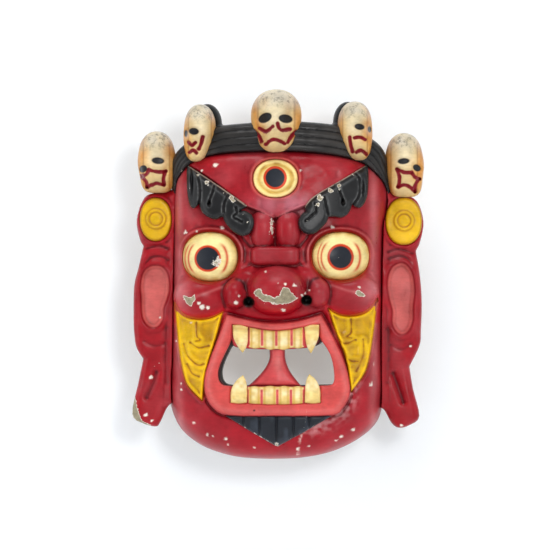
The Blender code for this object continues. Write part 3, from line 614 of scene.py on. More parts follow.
def face_field(x, d, z):
    outline = region(FACE_OUTLINE, x, z) - 0.9 * ease((-100 - z) / 20)
    f = smooth_max(d - face_front(x, z), outline, rounding(z))
    panels = panel_edge(x, z)
    lids = np.minimum(eye_oval("left", x, z), eye_oval("right", x, z))
    for centre, half, power, turn, soft in SWELLINGS:
        swelling = smooth_max(ball(centre, half, x, d, z, power, turn), 1.8 - lids, 3)
        f = smooth_min(f, np.maximum(swelling, 1.5 - panels), soft)
    f = smooth_max(f, -face_hollow(x, d, z), 2.5)
    deeper = ease((60 - d) / 26)
    mouth = region(MOUTH, x, z) * (1 - deeper) + region(MOUTH, x - 4.5, z - 1) * deeper
    f = smooth_max(f, -mouth, 2.5)
    for centre in NOSTRILS:
        f = smooth_max(f, -ball(centre, (5.0, 24, 5.0), x, d, z, 2.2), 1.2)
    seat = np.maximum(np.maximum(np.abs(x) - 10.4, d - 5.4), np.abs(z - 90) - 16)
    f = np.maximum(f, -seat)
    return smooth_max(f, -d, 1.2)


def chipped(paint, x, z, shown):
    """Small ragged chips down to the primer."""
    rag = 0.75 * lumps(x, FLAT, z, 1.3)
    for cx, cz, radius in CHIPS:
        paint = mix(paint, (238, 228, 214), ease((radius - np.hypot(x - cx, (z - cz) * 1.15) + rag) / 0.45) * shown)
    return paint


def ragged(patches, x, z):
    rag = 1.1 * lumps(x, FLAT, z, 3.2)
    bare = np.full(len(x), UNWORN)
    for patch in patches:
        bare = np.maximum(bare, rag - region(patch, x, z))
    return bare


def face_paint(x, d, z, bend):
    paint = coat(RED, x)
    lips, mouth = region(LIPS, x, z), region(MOUTH, x, z)
    sheen = 0.5 + 0.5 * lumps(x, d, z, 26)
    paint = mix(paint, (150, 34, 44), 0.45 * sheen)
    paint = mix(paint, (180, 88, 94), 0.34 * np.clip(lumps(x + 30, d, z, 17), 0, 1))
    # Painted sheen: paler pink on the outer sides of the cheeks.
    paint = mix(paint, (200, 118, 122), 0.42 * bell((np.abs(x) - 84) / 8) * bell((z + 16) / 15) * (d > 25))
    paint = mix(paint, (176, 14, 34), 0.5 * ease((-110 - z) / 25) * (1 - sheen))
    # Painted shade: darker red in the creases.
    paint = mix(paint, SHADE_RED, np.clip(-bend * 1.1, 0, 0.85))
    # Painted shade: darker red in the carved hollow around the lip frame.
    paint = mix(paint, (136, 6, 24), 0.7 * bell((lips - 1.2) / 1.4))
    # Painted shadow: a darker red band below the nose.
    paint = mix(paint, (146, 4, 24), 0.75 * bell((z + 37) / 5.5) * (np.abs(x) < 42) * (d > 50))
    for side_name in ("left", "right"):
        paint = mix(paint, (206, 130, 20), 0.8 * bell((region(PANELS[side_name], x, z) - 0.2) / 0.7))
        rim = eye_oval(side_name, x, z)
        # Painted shade: darker red in the carved hollow round the eye.
        paint = mix(paint, (140, 10, 18), 0.7 * bell((rim - 1.6) / 1.2))
        paint = mix(paint, (204, 84, 36), 0.75 * bell((rim - 0.4) / 0.7))
        # Painted highlight: paler pink on the upper half of the lid ridge.
        paint = mix(paint, (206, 112, 104), 0.35 * bell((rim - 3.9) / 0.7) * ease((z - 10) / 10))
    third = eye_oval("third", x, z)
    paint = mix(paint, (206, 96, 84), 0.6 * bell((third - 1.2) / 1.2))
    # Painted highlight: paler pink along the raised ridges.
    for places, _, width in RIDGES:
        paint = mix(paint, (210, 118, 118), 0.4 * bell(line(places, x, z) / (0.6 * width)) * (d > 40))
    # Painted shade: near-black inside the nostril pits, for the darkness of a hole.
    for cx, _, cz in NOSTRILS:
        paint = mix(paint, (16, 18, 14), ease(-(oval((cx, cz), (5.2, 5.2), x, z) + 0.1) / 0.8) * (d > 50))
    # Painted shade: dark lines in the carved curls of the nose wings.
    for places in (((-36, -5.5), (-31, -7.5), (-28, -14)), ((37, -4.5), (32, -6.5), (29.5, -13))):
        paint = mix(paint, (44, 14, 20), 0.8 * bell(line(places, x, z) / 1.6) * (d > 50))
    streaks = 0.5 + 0.5 * lumps(x * 3, d * 0, z, 16)
    # Painted sheen: a streaky lavender veil on the lower forehead.
    brow_sheen = bell((z - 61) / 9) * bell((x - 8) / 26) * (d > 50)
    paint = mix(paint, (190, 118, 132), brow_sheen * (0.25 + 0.5 * streaks))
    chin_rub = bell(line(((70, -98), (65, -118), (52, -132), (30, -141)), x, z) / 5.5) * (d > 20)
    paint = mix(paint, (216, 160, 160), chin_rub * 0.6 * ease((lumps(x, d, z, 3.2) + 0.1) / 0.5))
    # Painted sheen: paler streaky bands down the sides of the face.
    paint = mix(paint, (210, 128, 130), 0.5 * bell((np.abs(x) - 88) / 4) * (0.4 + 0.6 * streaks) * (d > 12))
    # Painted shade: a deeper crimson below the cheeks and below the nose.
    under = bell((panel_edge(x, z) - 2.5) / 3.0) * (z > -45) + bell((z + 36) / 5) * bell(x / 24) * (d > 60)
    paint = mix(paint, (190, 6, 26), 0.6 * np.clip(under, 0, 1))
    behind = barrel(x, z) - d
    paint = mix(paint, (38, 42, 40), ease((4 - mouth) / 1.5) * ease((behind + 0.5) / 1.5))
    paint = chipped(paint, x, z, 1.0 * (d > 12))
    bare = np.where(d > 40, ragged(FACE_PATCHES, x, z), UNWORN)
    boss = line(((-3.9, 47), (-4.3, 42), (-3.7, 34)), x, z)
    bare = np.maximum(bare, 0.9 * bell(boss / 1.2) * (d > 55) - 0.4 - 3 * (boss > 3))
    crack = line(((25, -139), (21.5, -150), (20, -158), (18.5, -164)), x, z)
    paint = mix(paint, (226, 190, 180), 0.8 * bell(crack / 0.5) * (d > 20))
    pocket = (np.abs(x) < 12) * (d < 9) * (z > 72)
    wood = np.maximum(ease((2.2 - d) / 1.2), ease((3.5 - face_hollow(x, d, z)) / 1.5)) * (mouth > 2.5)
    wood = np.maximum(wood, pocket)
    return {"paint": paint, "bare": np.clip(bare, UNWORN, 3), "wood": wood}


# ------------------------------------------------------------------ pieces on the face


def laid_field(outline, height, depth, soft, relief=None):
    """A piece that follows the skin: its outline, height over it, depth into it, and edge softness."""

    def field(x, d, z):
        base = skin(x, z)
        front = base + height
        edge = region(outline, x, z)
        if relief:
            front = front + relief(x, z, edge)
        return smooth_max(smooth_max(edge, d - front, soft), base - depth - d, 1.0)

    return field


def box_of(outline, low, high, margin=1.0):
    xs, zs = [p[0] for p in outline], [p[1] for p in outline]
    return (min(xs) - margin, low, min(zs) - margin), (max(xs) + margin, high, max(zs) + margin)


def grooves(lines, depth, width):
    def relief(x, z, _):
        return -depth * sum(bell(line(places, x, z) / width) for places in lines)

    return relief


def brow_relief(side):
    carved = grooves(BROW_LINES[side], 2.0, 1.1)

    def relief(x, z, edge):
        height = carved(x, z, edge) - 2.4 * ease((3.4 - line(BROW_TOPS[side], x, z)) / 2.2)
        for centre, half in BROW_PITS[side]:
            height = height - 3.0 * ease(-oval(centre, half, x, z) / 1.0)
        return height - 1.5 * ease((x * (1 if side == "right" else -1) - 70) / 12)

    return relief


def brow_paint(side):
    def paint(x, d, z, bend):
        paint = coat(BLACK, x)
        # Painted shade: the carved pits go nearly black.
        for centre, half in BROW_PITS[side]:
            paint = mix(paint, (8, 8, 10), ease(-(oval(centre, half, x, z) - 0.3) / 0.8))
        # Paler grey on the brows' edges: partly scuffed paint, partly painted highlight.
        grey = 0.5 + 0.5 * lumps(x, d, z, 6)
        paint = mix(paint, (104, 106, 106), 0.55 * np.clip(bend * 1.3, 0, 1) * grey)
        upper = line(BROW_TOPS[side], x, z)
        front = 1.0 * (d > skin(x, z) + 3)
        rag = 0.5 * lumps(x, FLAT, z, 2.0)
        thin = 0.9 * bell((upper - 0.5) / 0.5) * front
        paint = mix(paint, (178, 158, 140), thin * ease((rag + 0.35) / 0.3))
        bare = np.full(len(x), UNWORN)
        for cx, cz, radius in BROW_WEAR[side]:
            away = np.hypot(x - cx, (z - cz) * 1.1)
            bare = np.maximum(bare, (radius * 0.8 - away) + rag)
        # Paler grey along the rims of the carved lines: partly scuffed paint, partly painted highlight.
        for places in BROW_LINES[side]:
            away = line(places, x, z)
            paint = mix(paint, (120, 120, 118), 0.45 * bell((away - 1.7) / 0.5) * ease(rag / 0.3))
        return {"paint": paint, "bare": np.clip(np.where(front > 0, bare, UNWORN), UNWORN, 1.0)}

    return paint


def panel_relief(side):
    def relief(x, z, edge):
        flat = np.zeros((1,) * np.ndim(edge), dtype=np.float32)
        height = 1.0 * bell((edge + 1.4) / 1.0) + 0.7 * lumps(x, flat, z, 9)
        for places in PANEL_LINES[side]:
            away = line(places, x, z)
            height = height - 0.7 * bell(away / 1.2) + 1.0 * bell((away - 3.0) / 2.2)
        return height - 0.8 * ease(-(edge + 3.5) / 1.5)

    return relief


def panel_paint(side):
    def paint(x, d, z, bend):
        paint = coat(YELLOW, x)
        edge = region(PANELS[side], x, z)
        patch = 0.5 + 0.5 * lumps(x, d, z, 10)
        inside = ease(-(edge + 2.6) / 1.4)
        paint = mix(paint, (206, 154, 2), 0.6 * patch * inside)
        strokes = 0.5 + 0.5 * lumps(x * 0.8 + z * 0.6, d * 0, (z - x) * 0.35, 5)
        paint = mix(paint, (168, 112, 14), 0.55 * ease((strokes - 0.55) / 0.3) * inside)
        by_mouth = bell((region(LIPS, x, z) - 8.5) / 3.6)
        paint = mix(paint, (160, 112, 34), 0.55 * by_mouth * inside * (0.2 + 0.8 * patch))
        for places in PANEL_LINES[side]:
            away = line(places, x, z)
            paint = mix(paint, (158, 104, 20), (0.05 + 0.35 * patch) * bell(away / 1.3))
            # Painted highlight: paler yellow on the raised ridges beside the lines.
            paint = mix(paint, (252, 212, 30), 0.35 * bell((away - 2.6) / 1.2) * (1 - patch))
        # Painted shade: browner in the creases.
        paint = mix(paint, (150, 84, 14), 0.6 * np.clip(-bend * 1.4, 0, 1))
        paint = mix(paint, (222, 132, 24), 0.8 * ease((edge + 0.4) / 0.7))
        return {"paint": chipped(paint, x, z, 1.0)}

    return paint


def teeth_rows(x, z):
    """Signed distance to the nearer recess for a row of teeth."""
    return np.minimum(region(UPPER_ROW, x, z), region(LOWER_ROW, x, z))


def lips_relief(x, z, edge):
    rows = teeth_rows(x, z)
    return -2.8 * ease(-(rows - 0.2) / 1.4) - 0.4 * bell((edge + 3.0) / 1.2) - 1.2 * ease((edge + 14) / 10)


def lips_field(x, d, z):
    solid = laid_field(LIPS, 7.4, 4, 5, lips_relief)(x, d, z)
    return smooth_max(solid, -region(MOUTH, x, z), 3.0)


def lips_paint(x, d, z, bend):
    paint = coat(PINK, x)
    edge, mouth = region(LIPS, x, z), region(MOUTH, x, z)
    rows = teeth_rows(x, z)
    paint = mix(paint, (186, 52, 58), 0.7 * ease(-(rows - 0.5) / 1.0))
    # Painted shade: darker red at the frame's rounded outer edge.
    paint = mix(paint, (150, 30, 44), 0.7 * ease((edge + 1.0) / 1.0))
    # Painted sheen: a paler band just inside the outer edge.
    paint = mix(paint, (214, 110, 106), 0.5 * bell((edge + 4.5) / 2.5))
    # Painted shade: darker in the creases.
    paint = mix(paint, (150, 34, 46), np.clip(-bend * 0.9, 0, 0.8))
    paint = mix(paint, (34, 34, 32), ease((3.0 - mouth) / 1.2) * ease((skin(x, z) + 3.0 - d) / 1.0))
    # Painted shade: a dark dot for a small hole, which is not carved.
    hole = oval((-20, -123.5), (0.9, 0.9), x, z)
    paint = mix(paint, (40, 20, 20), ease(-hole / 0.4))
    scratch = line(((27.5, -117), (26.6, -121), (27.2, -128)), x, z)
    return {"paint": paint, "bare": UNWORN + 3.2 * bell(scratch / 0.6)}


UPPER_TEETH = (
    (-24.9, -48.6, 1), (-13, -50.8), (0, -51.9), (14, -50.6), (24.4, -48.4, 1), (24.6, -66.4, 1), (19.5, -67.9),
    (14.1, -67.0), (7, -69.0), (-0.1, -68.2), (-6.4, -69.0), (-12.7, -67.0), (-19.5, -67.9), (-24.9, -66.4, 1),
)
LOWER_TEETH = (
    (-25.8, -117, 1), (-12, -118), (12, -118), (24.6, -117, 1), (24.5, -102.6, 1), (19, -101.6), (13, -102.3),
    (7, -101.3), (0.8, -102.1), (-6.2, -101.3), (-13.3, -102.3), (-20, -101.6), (-25.8, -102.6, 1),
)
FANGS = {
    "fang_upper_left": (
        (-39.4, -46.6, 1), (-33, -46.4), (-25.4, -48.6, 1), (-25.4, -60),
        (-27.0, -66.5), (-30.3, -71.8, 1), (-34.5, -66.5), (-38.6, -58),
    ),
    "fang_upper_right": (
        (25.0, -48.4, 1), (31, -46.4), (38.4, -46.4, 1),
        (38, -57), (34.6, -66), (31, -72.5, 1), (27.8, -67), (26, -60),
    ),
    "fang_lower_left": (
        (-41.2, -116.6, 1), (-34, -117.4), (-26.4, -116.6, 1), (-26.0, -106),
        (-27.3, -97), (-30, -91.6, 1), (-36, -96.5), (-40.8, -105),
    ),
    "fang_lower_right": (
        (25.2, -116.6, 1), (33, -117.4), (39.6, -116.6, 1), (39.4, -105),
        (35.5, -96), (29.4, -90.6, 1), (26.6, -97), (25.6, -106),
    ),
}


def teeth_relief(gaps, gum, tips):
    def relief(x, z, edge):
        root = ease((np.abs(z - tips) - 2.4) / 1.2)
        return -1.2 * sum(bell((x - gap) / 1.0) for gap in gaps) * root - 0.012 * np.square(z - (gum + tips) / 2)

    return relief


def fang_relief(x, z, edge):
    return 1.2 * ease(-(edge + 3.2) / 1.5)


def tooth_paint(gaps, gum, tips):
    def paint(x, d, z, bend):
        paint = coat(TOOTH, x)
        patch = 0.5 + 0.5 * lumps(x, d, z, 3.5)
        paint = mix(paint, (212, 166, 66), 0.6 * patch)
        # Painted highlight: a whiter band across the fronts of the teeth.
        paint = mix(paint, (252, 242, 206), 0.75 * bell((z - (gum + 2 * tips) / 3) / 4.2) * (1 - patch))
        # Painted shade: gold where each tooth turns into its gaps.
        for gap in gaps:
            paint = mix(paint, (204, 154, 52), 0.75 * bell((np.abs(x - gap) - 2.6) / 1.3))
        # Painted shade: duller gold along the gum line, in the creases and at the tips.
        paint = mix(paint, (188, 150, 66), 0.5 * bell((z - gum) / 2.0) + 0.4 * np.clip(-bend * 1.4, 0, 1))
        paint = mix(paint, (188, 146, 66), 0.35 * bell((z - tips) / 1.4))
        root = ease((np.abs(z - tips) - 2.0) / 0.8)
        for gap in gaps:
            paint = mix(paint, (222, 92, 96), 0.95 * ease((1.2 - np.abs(x - gap)) / 0.4) * root)
        return {"paint": mix(paint, (192, 60, 62), ease((3.4 - (d - skin(x, z))) / 0.8))}

    return paint


def tongue_field(x, d, z):
    front = 61.5 - 1.5 * ease((z + 84) / 10) + 1.4 * bell(x / 7) - 1.0 * bell((z + 90) / 8)
    return smooth_max(smooth_max(region(TONGUE, x, z), d - front, 6), 46.5 - d, 2)


def tongue_paint(x, d, z, bend):
    paint = coat((204, 74, 76), x)
    # Painted highlight: paler pink on the tongue's middle ridge.
    paint = mix(paint, (226, 130, 124), 0.5 * bell((x - 1) / 4) * bell((z + 80) / 9))
    # Painted shade: darker red at the rounded edges.
    paint = mix(paint, (150, 30, 42), 0.8 * ease((region(TONGUE, x, z) + 2.0) / 1.6))
    # Painted shade: near-black where the tongue reaches far back into the mouth.
    paint = mix(paint, (30, 20, 22), ease((54 - d) / 3))
    return {"paint": paint}


def beard_relief(x, z, edge):
    flutes = sum(bell((x - at) / 1.3) for at in (-29.5, -15.4, 0.0, 15.2, 29.3))
    return -2.0 * flutes + 0.02 * (z + 128)


def beard_paint(x, d, z, bend):
    paint = coat((34, 37, 43), x)
    # Lighter bluish patches at random: partly the paint's own tone, partly painted highlight.
    paint = mix(paint, (70, 76, 88), 0.7 * np.clip(lumps(x * 2, d, z, 9), 0, 1))
    tip = bell((x - 0.5) / 4) * bell((z + 154) / 4) * 3.9
    scratch = 3.0 * bell(line(((27, -129), (25, -138), (23, -146)), x, z) / 0.6)
    edge = 2.9 * bell((region(BEARD, x, z) + 0.6) / 0.9) * (z < -135)
    return {"paint": paint, "bare": UNWORN + np.maximum(np.maximum(tip, scratch), edge)}


# ------------------------------------------------------------------ eyes


def eye_field(side):
    (cx, _, cz), half, turn, _ = EYES[side]
    wide, high = half[0] * math.cos(math.radians(turn)), half[2]
    base, bulge = (3.4, 3.4) if side == "third" else (0.8, 7.6)

    def field(x, d, z):
        around = np.clip(((x - cx) / wide) ** 2 + ((z - cz) / high) ** 2, 0, 1)
        front = skin(x, z) + base + bulge * np.sqrt(1 - around)
        if side == "third":
            front = front - 1.3 * bell((np.sqrt(around) - 0.74) / 0.10)
        return smooth_max(smooth_max(eye_oval(side, x, z) - 0.15, d - front, 1.6), skin(x, z) - 7 - d, 1.0)

    return field


def eye_paint(side):
    def paint(x, d, z, bend):
        paint = coat(CREAM, x)
        px, pz, pupil, rim = EYES[side][3]
        away = np.hypot(x - px, z - pz)
        edge = eye_oval(side, x, z)
        patch = 0.5 + 0.5 * lumps(x, d, z, 5)
        # Gold towards the rim, browner at the very rim: painted shade where the eye rounds away, with random gold
        # patches.
        paint = mix(paint, GOLD, 0.7 * ease((edge + 3.4) / 3.0) * (0.3 + 0.7 * patch) + 0.15 * patch)
        paint = mix(paint, (170, 110, 40), 0.6 * ease((edge + 0.8) / 0.8) * patch)
        for start, reach, thick in ((-1, 17.4, 0.9), (1, 17.6, 1.3), (-1, 20.4, 0.6)):
            arc = bell((np.hypot(x - px, (z - pz) * 0.95) - reach) / thick) * (start * (x - px) > 9)
            paint = mix(paint, ORANGE, 0.95 * arc * ease((12.5 - np.abs(z - pz)) / 3))
        paint = mix(paint, ORANGE, ease(-(away - rim) / 0.4))
        paint = mix(paint, PUPIL, ease(-(away - pupil) / 0.4))
        scuff = region(((px + 5, pz - 4), (px + 9, pz + 2), (px + 12, pz - 1), (px + 9, pz - 7)), x, z)
        worn = np.where(side == "left", -scuff - 0.2, UNWORN)
        return {"paint": paint, "bare": np.clip(worn * 0.35, UNWORN, 0.6) * np.ones(len(x))}

    return paint


def third_eye_paint(x, d, z, bend):
    paint = coat((248, 226, 150), x)
    around = np.sqrt(((x + 0.9) / 20.1) ** 2 + ((z - 84.9) / 17.1) ** 2)
    away = np.hypot(x + 1.2, z - 85.5)
    patch = 0.5 + 0.5 * lumps(x, d, z, 6)
    paint = mix(paint, (204, 150, 24), 0.95 * bell((around - 0.74) / 0.10) * (0.6 + 0.4 * patch))
    paint = mix(paint, (150, 98, 24), 0.6 * bell((around - 0.80) / 0.05) * ease((patch - 0.5) / 0.2))
    paint = mix(paint, (198, 92, 60), 0.8 * ease((around - 0.99) / 0.03))
    paint = mix(paint, ORANGE, ease(-(away - 10.6) / 0.4))
    paint = mix(paint, PUPIL, ease(-(away - 8.5) / 0.4))
    return {"paint": paint}


# ------------------------------------------------------------------ ears and crown


def disc_oval(side, x, z):
    cx, cz, wide, high = DISCS[side]
    return oval((cx, cz), (wide, high), x, z, power=2.15)


def ear_field(side):
    def field(x, d, z):
        outline, face = region(EARS[side], x, z) - 0.6, region(FACE_OUTLINE, x, z)
        bowl = region(EAR_BOWLS[side], x, z)
        disc = disc_oval(side, x, z)
        front = 20 + 1.1 * bell((bowl - 3.0) / 2.2) - 3.4 * ease(-(bowl + 0.4) / 2.4)
        front = front + 1.2 * bell((disc - 1.6) / 1.2) - 1.2 * ease((-z - 72) / 10)
        for places, depth, width in ear_lines(side):
            front = front - depth * bell(line(places, x, z) / width)
        front = front + 3.0 * ease((3 - face) / 4) + 0.4 * lumps(x, FLAT_GRID, z, 14)
        f = smooth_max(smooth_max(outline, d - front, 8), 3 - d, 4)
        f = np.maximum(f, -0.4 - face)
        return np.maximum(f, -np.maximum(disc - 0.1, 17.2 - d))

    return field


def ear_lines(side):
    if side == "left":
        return (
            (((-108.4, -90), (-111, -99), (-116.8, -112)), 1.8, 2.6),
            (((-119, -62), (-110, -65.5), (-101, -64)), 0.7, 2.2),
            (((-98, 22), (-107, 24.5), (-117, 22)), 1.4, 1.8),
            (((-98, 12), (-105, 15), (-114, 13.5), (-120, 5)), 1.1, 2.0),
            (((-98.5, -50), (-99.5, -75), (-98.5, -98)), 1.0, 3.0),
        )
    return (
        (((105.4, -91), (108.5, -99), (114.3, -116)), 2.6, 2.6),
        (((104, -65), (113, -69), (121, -64)), 0.7, 2.2),
        (((101, 19), (111, 21.5), (123, 17.5)), 1.4, 1.8),
        (((101.5, 13), (110, 15.5), (118, 13), (123, 5)), 1.1, 2.0),
        (((100, -52), (101, -75), (100, -98)), 1.0, 3.0),
    )


def ear_paint(side):
    def paint(x, d, z, bend):
        paint = coat(RED, x)
        bowl = region(EAR_BOWLS[side], x, z)
        # Painted shade: darker red in creases and round the sunken rim of the bowl.
        paint = mix(paint, SHADE_RED, np.clip(-bend * 1.3, 0, 0.9))
        paint = mix(paint, SHADE_RED, 0.6 * bell((bowl - 0.6) / 1.4))
        veins = 0.5 + 0.5 * lumps(x * 2, d * 0, z, 14)
        inner = ease(-(bowl - 0.2) / 0.9) * (d > 12)
        paint = mix(mix(paint, EAR_PINK, 0.95 * inner), (186, 70, 72), 0.3 * inner * veins)
        paint = mix(paint, (176, 86, 92), 0.3 * np.clip(lumps(x + 30, d, z, 17), 0, 1))
        # Painted shade: darker red in the carved lines, more where they are cut further in.
        for places, depth, width in ear_lines(side):
            paint = mix(paint, (112, 4, 20), min(0.3 * depth, 0.6) * bell(line(places, x, z) / width) * (d > 12))
        bare = np.full(len(x), UNWORN)
        if side == "left":
            bare = np.clip(-region(LOBE_PATCH, x, z) - 0.3, UNWORN, 2)
        return {"paint": chipped(paint, x, z, 1.0 * (d > 10)), "bare": bare, "wood": ease((3.6 - d) / 0.6)}

    return paint


def disc_field(side):
    cx, cz, _, _ = DISCS[side]

    def field(x, d, z):
        edge = disc_oval(side, x, z)
        away = np.hypot(x - cx - 0.3, z - cz - 0.5)
        front = 22.2 + 0.9 * bell((away - 7.8) / 1.1) + 0.8 * ease((4.6 - away) / 1.2) + 0.02 * away
        front = front + 0.35 * lumps(x, FLAT_GRID, z, 7)
        return smooth_max(smooth_max(edge, d - front, 3.0), 17.4 - d, 0.5)

    return field


def disc_paint(side):
    cx, cz, _, _ = DISCS[side]

    def paint(x, d, z, bend):
        paint = coat((226, 180, 16), x)
        away = np.hypot(x - cx - 0.3, z - cz - 0.5)
        patch = 0.5 + 0.5 * lumps(x, d, z, 8)
        shade = 0.7 * bell((away - 5.9) / 0.8) + 0.6 * bell((away - 9.4) / 0.9) + 0.3 * patch
        paint = mix(paint, OCHRE, shade)
        edge = disc_oval(side, x, z)
        paint = mix(paint, (150, 88, 14), 0.7 * ease((edge + 1.2) / 1.0))
        return {"paint": paint}

    return paint


CROWN_REGION = CROWN_OUTER + ((-84, 62, 1), (96, 62, 1))
CROWN_BACKINGS = (((-62.5, 27, 134), (13.5, 14, 18.5)), ((64.5, 27, 136), (13.5, 14, 18.5)))


def crown_across(x, z):
    """Distances to the crown's two outlines, and the share of the way from the inner to the outer."""
    outer, inner = region(CROWN_REGION, x, z), region(FACE_OUTLINE, x, z)
    return outer, inner, np.clip(inner / np.maximum(inner - outer, 0.5), 0, 1)


def crown_field(x, d, z):
    outer, inner, across = crown_across(x, z)
    angle = np.arctan2(x, z - WAIST_Z)
    front = 22 + 35 * np.clip(1 - (angle / 0.8) ** 2, 0, 1)
    ridge = np.abs(np.sin((across * 4 - 0.3 * across * (1 - across)) * math.pi)) ** 0.3
    front = front + 1.9 * ridge - 6.5 * across**3 + 0.3 * lumps(x, FLAT_GRID, z, 6)
    f = smooth_max(smooth_max(outer, -0.3 - inner, 1), d - front, 4)
    for centre, half in CROWN_BACKINGS:
        backing = smooth_max(ball(centre, half, x, d, z), 0.15 - inner, 1)
        f = smooth_min(f, backing, 3)
    return smooth_max(f, -d, 1)


def crown_paint(x, d, z, bend):
    paint = coat(BLACK, x)
    _, _, across = crown_across(x, z)
    # Painted shade: near-black in the hollows between the strands.
    groove_shade = bell((across * 4 - np.round(across * 4)) / 0.12)
    paint = mix(paint, (10, 10, 11), 0.8 * groove_shade)
    paint = mix(paint, (70, 66, 62), 0.6 * (0.5 + 0.5 * lumps(x, d, z, 12)) * (1 - groove_shade))
    return {"paint": paint, "wood": ease((1.6 - d) / 0.8)}


# ------------------------------------------------------------------ skulls


def skull_field(facts):
    (cc, ch), (jc, jh) = facts["cranium"], facts["jaw"]

    def field(x, d, z):
        f = smooth_min(ball(cc, ch, x, d, z, 2.15), ball(jc, jh, x, d, z, facts["jaw_power"]), 9)
        if facts["facets"]:
            facet = np.abs(x - cc[0]) * 0.83 + (d - cc[1]) * 0.55 - facts["facets"] - 0.06 * (z - cc[2])
            f = smooth_max(f, facet, 3)
        front = ease((d - cc[1] - 2) / 4)
        for centre, half, tilt in facts["eyes"]:
            f = f + 1.7 * front * ease(-(oval(centre, half, x, z, tilt) - 0.6) / 1.6)
        for places in facts["lines"]:
            f = f + 1.3 * front * bell(line(places, x, z) / 1.7)
        between = [(a + b) / 2 for a, b in zip(facts["eyes"][0][0], facts["eyes"][1][0])]
        f = f - 1.4 * front * bell(np.hypot((x - between[0]) / 2.2, (z - between[1] + 6) / 6))
        back = cc[1] - ch[1] * 0.72
        return smooth_max(f, back - d, 2)

    return field


def skull_paint(facts):
    cc, ch = facts["cranium"]

    def paint(x, d, z, bend):
        paint = coat(BONE, x)
        patch = 0.5 + 0.5 * lumps(x, d, z, 7)
        off = np.abs(x - cc[0]) / ch[0]
        up = (z - cc[2]) / ch[2]
        paint = mix(paint, (222, 178, 104), 0.55 * ease((off - 0.55) / 0.25) + 0.35 * ease((-up - 0.2) / 0.5))
        stain = ease((off - 0.45) / 0.3) * ease((lumps(x + 60, d, z, 11) - 0.05) / 0.35)
        amber = 0.85 * ease((off - 0.72) / 0.10) * (0.4 + 0.6 * patch) + 0.7 * stain
        paint = mix(paint, AMBER, np.clip(amber, 0, 0.9) * ease((0.75 - up) / 0.3))
        paint = mix(paint, (150, 96, 40), 0.6 * bell((off - 0.72) / 0.045) * ease((0.8 - up) / 0.2))
        paint = mix(paint, (238, 226, 196), 0.5 * bell(off / 0.5) * bell((up + 0.05) / 0.35))
        paint = mix(paint, (206, 200, 188), 0.75 * ease((up - 0.35) / 0.3) * (0.4 + 0.6 * patch))
        # Painted shade: browner in the creases.
        paint = mix(paint, (170, 120, 60), np.clip(-bend, 0, 1) * 0.5)
        for places in facts["lines"]:
            away = line(places, x, z) - 1.75 + 0.5 * lumps(x, d, z, 3)
            paint = mix(paint, SKULL_RED, ease(-away / 0.4) * (d > cc[1]))
        for centre, half, tilt in facts["eyes"]:
            paint = mix(paint, (28, 28, 30), ease(-oval(centre, half, x, z, tilt) / 0.35) * (d > cc[1] - 4))
        return {"paint": paint, "dirt": 0.9 * ease((up - 0.35) / 0.35)}

    return paint


# ------------------------------------------------------------------ materials


class Nodes:
    """A short way to write node trees."""

    def __init__(self, name):
        self.material = bpy.data.materials.new(name)
        self.material.use_nodes = True
        self.tree = self.material.node_tree
        self.shader = self.tree.nodes["Principled BSDF"]
        self.place = self.tree.nodes.new("ShaderNodeTexCoord").outputs["Object"]

    def put(self, value, socket):
        if hasattr(value, "is_output"):
            self.tree.links.new(value, socket)
        else:
            socket.default_value = value

    def math(self, operation, a, b=0.0, clamp=False):
        node = self.tree.nodes.new("ShaderNodeMath")
        node.operation, node.use_clamp = operation, clamp
        self.put(a, node.inputs[0])
        self.put(b, node.inputs[1])
        return node.outputs[0]

    def attribute(self, name, output="Fac"):
        node = self.tree.nodes.new("ShaderNodeAttribute")
        node.attribute_name = name
        return node.outputs[output]

    def stretched(self, scale):
        node = self.tree.nodes.new("ShaderNodeMapping")
        self.put(self.place, node.inputs["Vector"])
        node.inputs["Scale"].default_value = scale
        return node.outputs["Vector"]

    def noise(self, scale, detail=4.0, roughness=0.55, place=None):
        node = self.tree.nodes.new("ShaderNodeTexNoise")
        self.put(place or self.place, node.inputs["Vector"])
        node.inputs["Scale"].default_value = scale
        node.inputs["Detail"].default_value = detail
        node.inputs["Roughness"].default_value = roughness
        return node.outputs["Fac"]

    def dots(self, scale, output="Distance"):
        node = self.tree.nodes.new("ShaderNodeTexVoronoi")
        self.put(self.place, node.inputs["Vector"])
        node.inputs["Scale"].default_value = scale
        return node.outputs[output]

    def spread(self, value, low, high, to_low=0.0, to_high=1.0):
        node = self.tree.nodes.new("ShaderNodeMapRange")
        node.clamp = True
        self.put(value, node.inputs["Value"])
        for key, number in (("From Min", low), ("From Max", high), ("To Min", to_low), ("To Max", to_high)):
            node.inputs[key].default_value = number
        return node.outputs["Result"]

    def blend(self, share, a, b, kind="MIX"):
        node = self.tree.nodes.new("ShaderNodeMix")
        node.data_type, node.blend_type = "RGBA", kind
        self.put(share, node.inputs["Factor"])
        self.put(a, node.inputs[6])
        self.put(b, node.inputs[7])
        return node.outputs[2]

    def bump(self, height, strength, distance):
        node = self.tree.nodes.new("ShaderNodeBump")
        node.inputs["Strength"].default_value = strength
        node.inputs["Distance"].default_value = distance
        self.put(height, node.inputs["Height"])
        self.put(node.outputs["Normal"], self.shader.inputs["Normal"])


def tone(*colour):
    return (*(float(c) for c in linear(colour)), 1.0)


def wood_tone(nodes):
    grain = nodes.noise(1.0, 5, 0.6, nodes.stretched((420, 420, 26)))
    rings = nodes.noise(1.0, 3, 0.5, nodes.stretched((70, 70, 8)))
    light = nodes.blend(nodes.spread(rings, 0.35, 0.65), tone(150, 118, 84), tone(196, 164, 122))
    return nodes.blend(nodes.spread(grain, 0.42, 0.72), light, tone(104, 76, 50)), grain


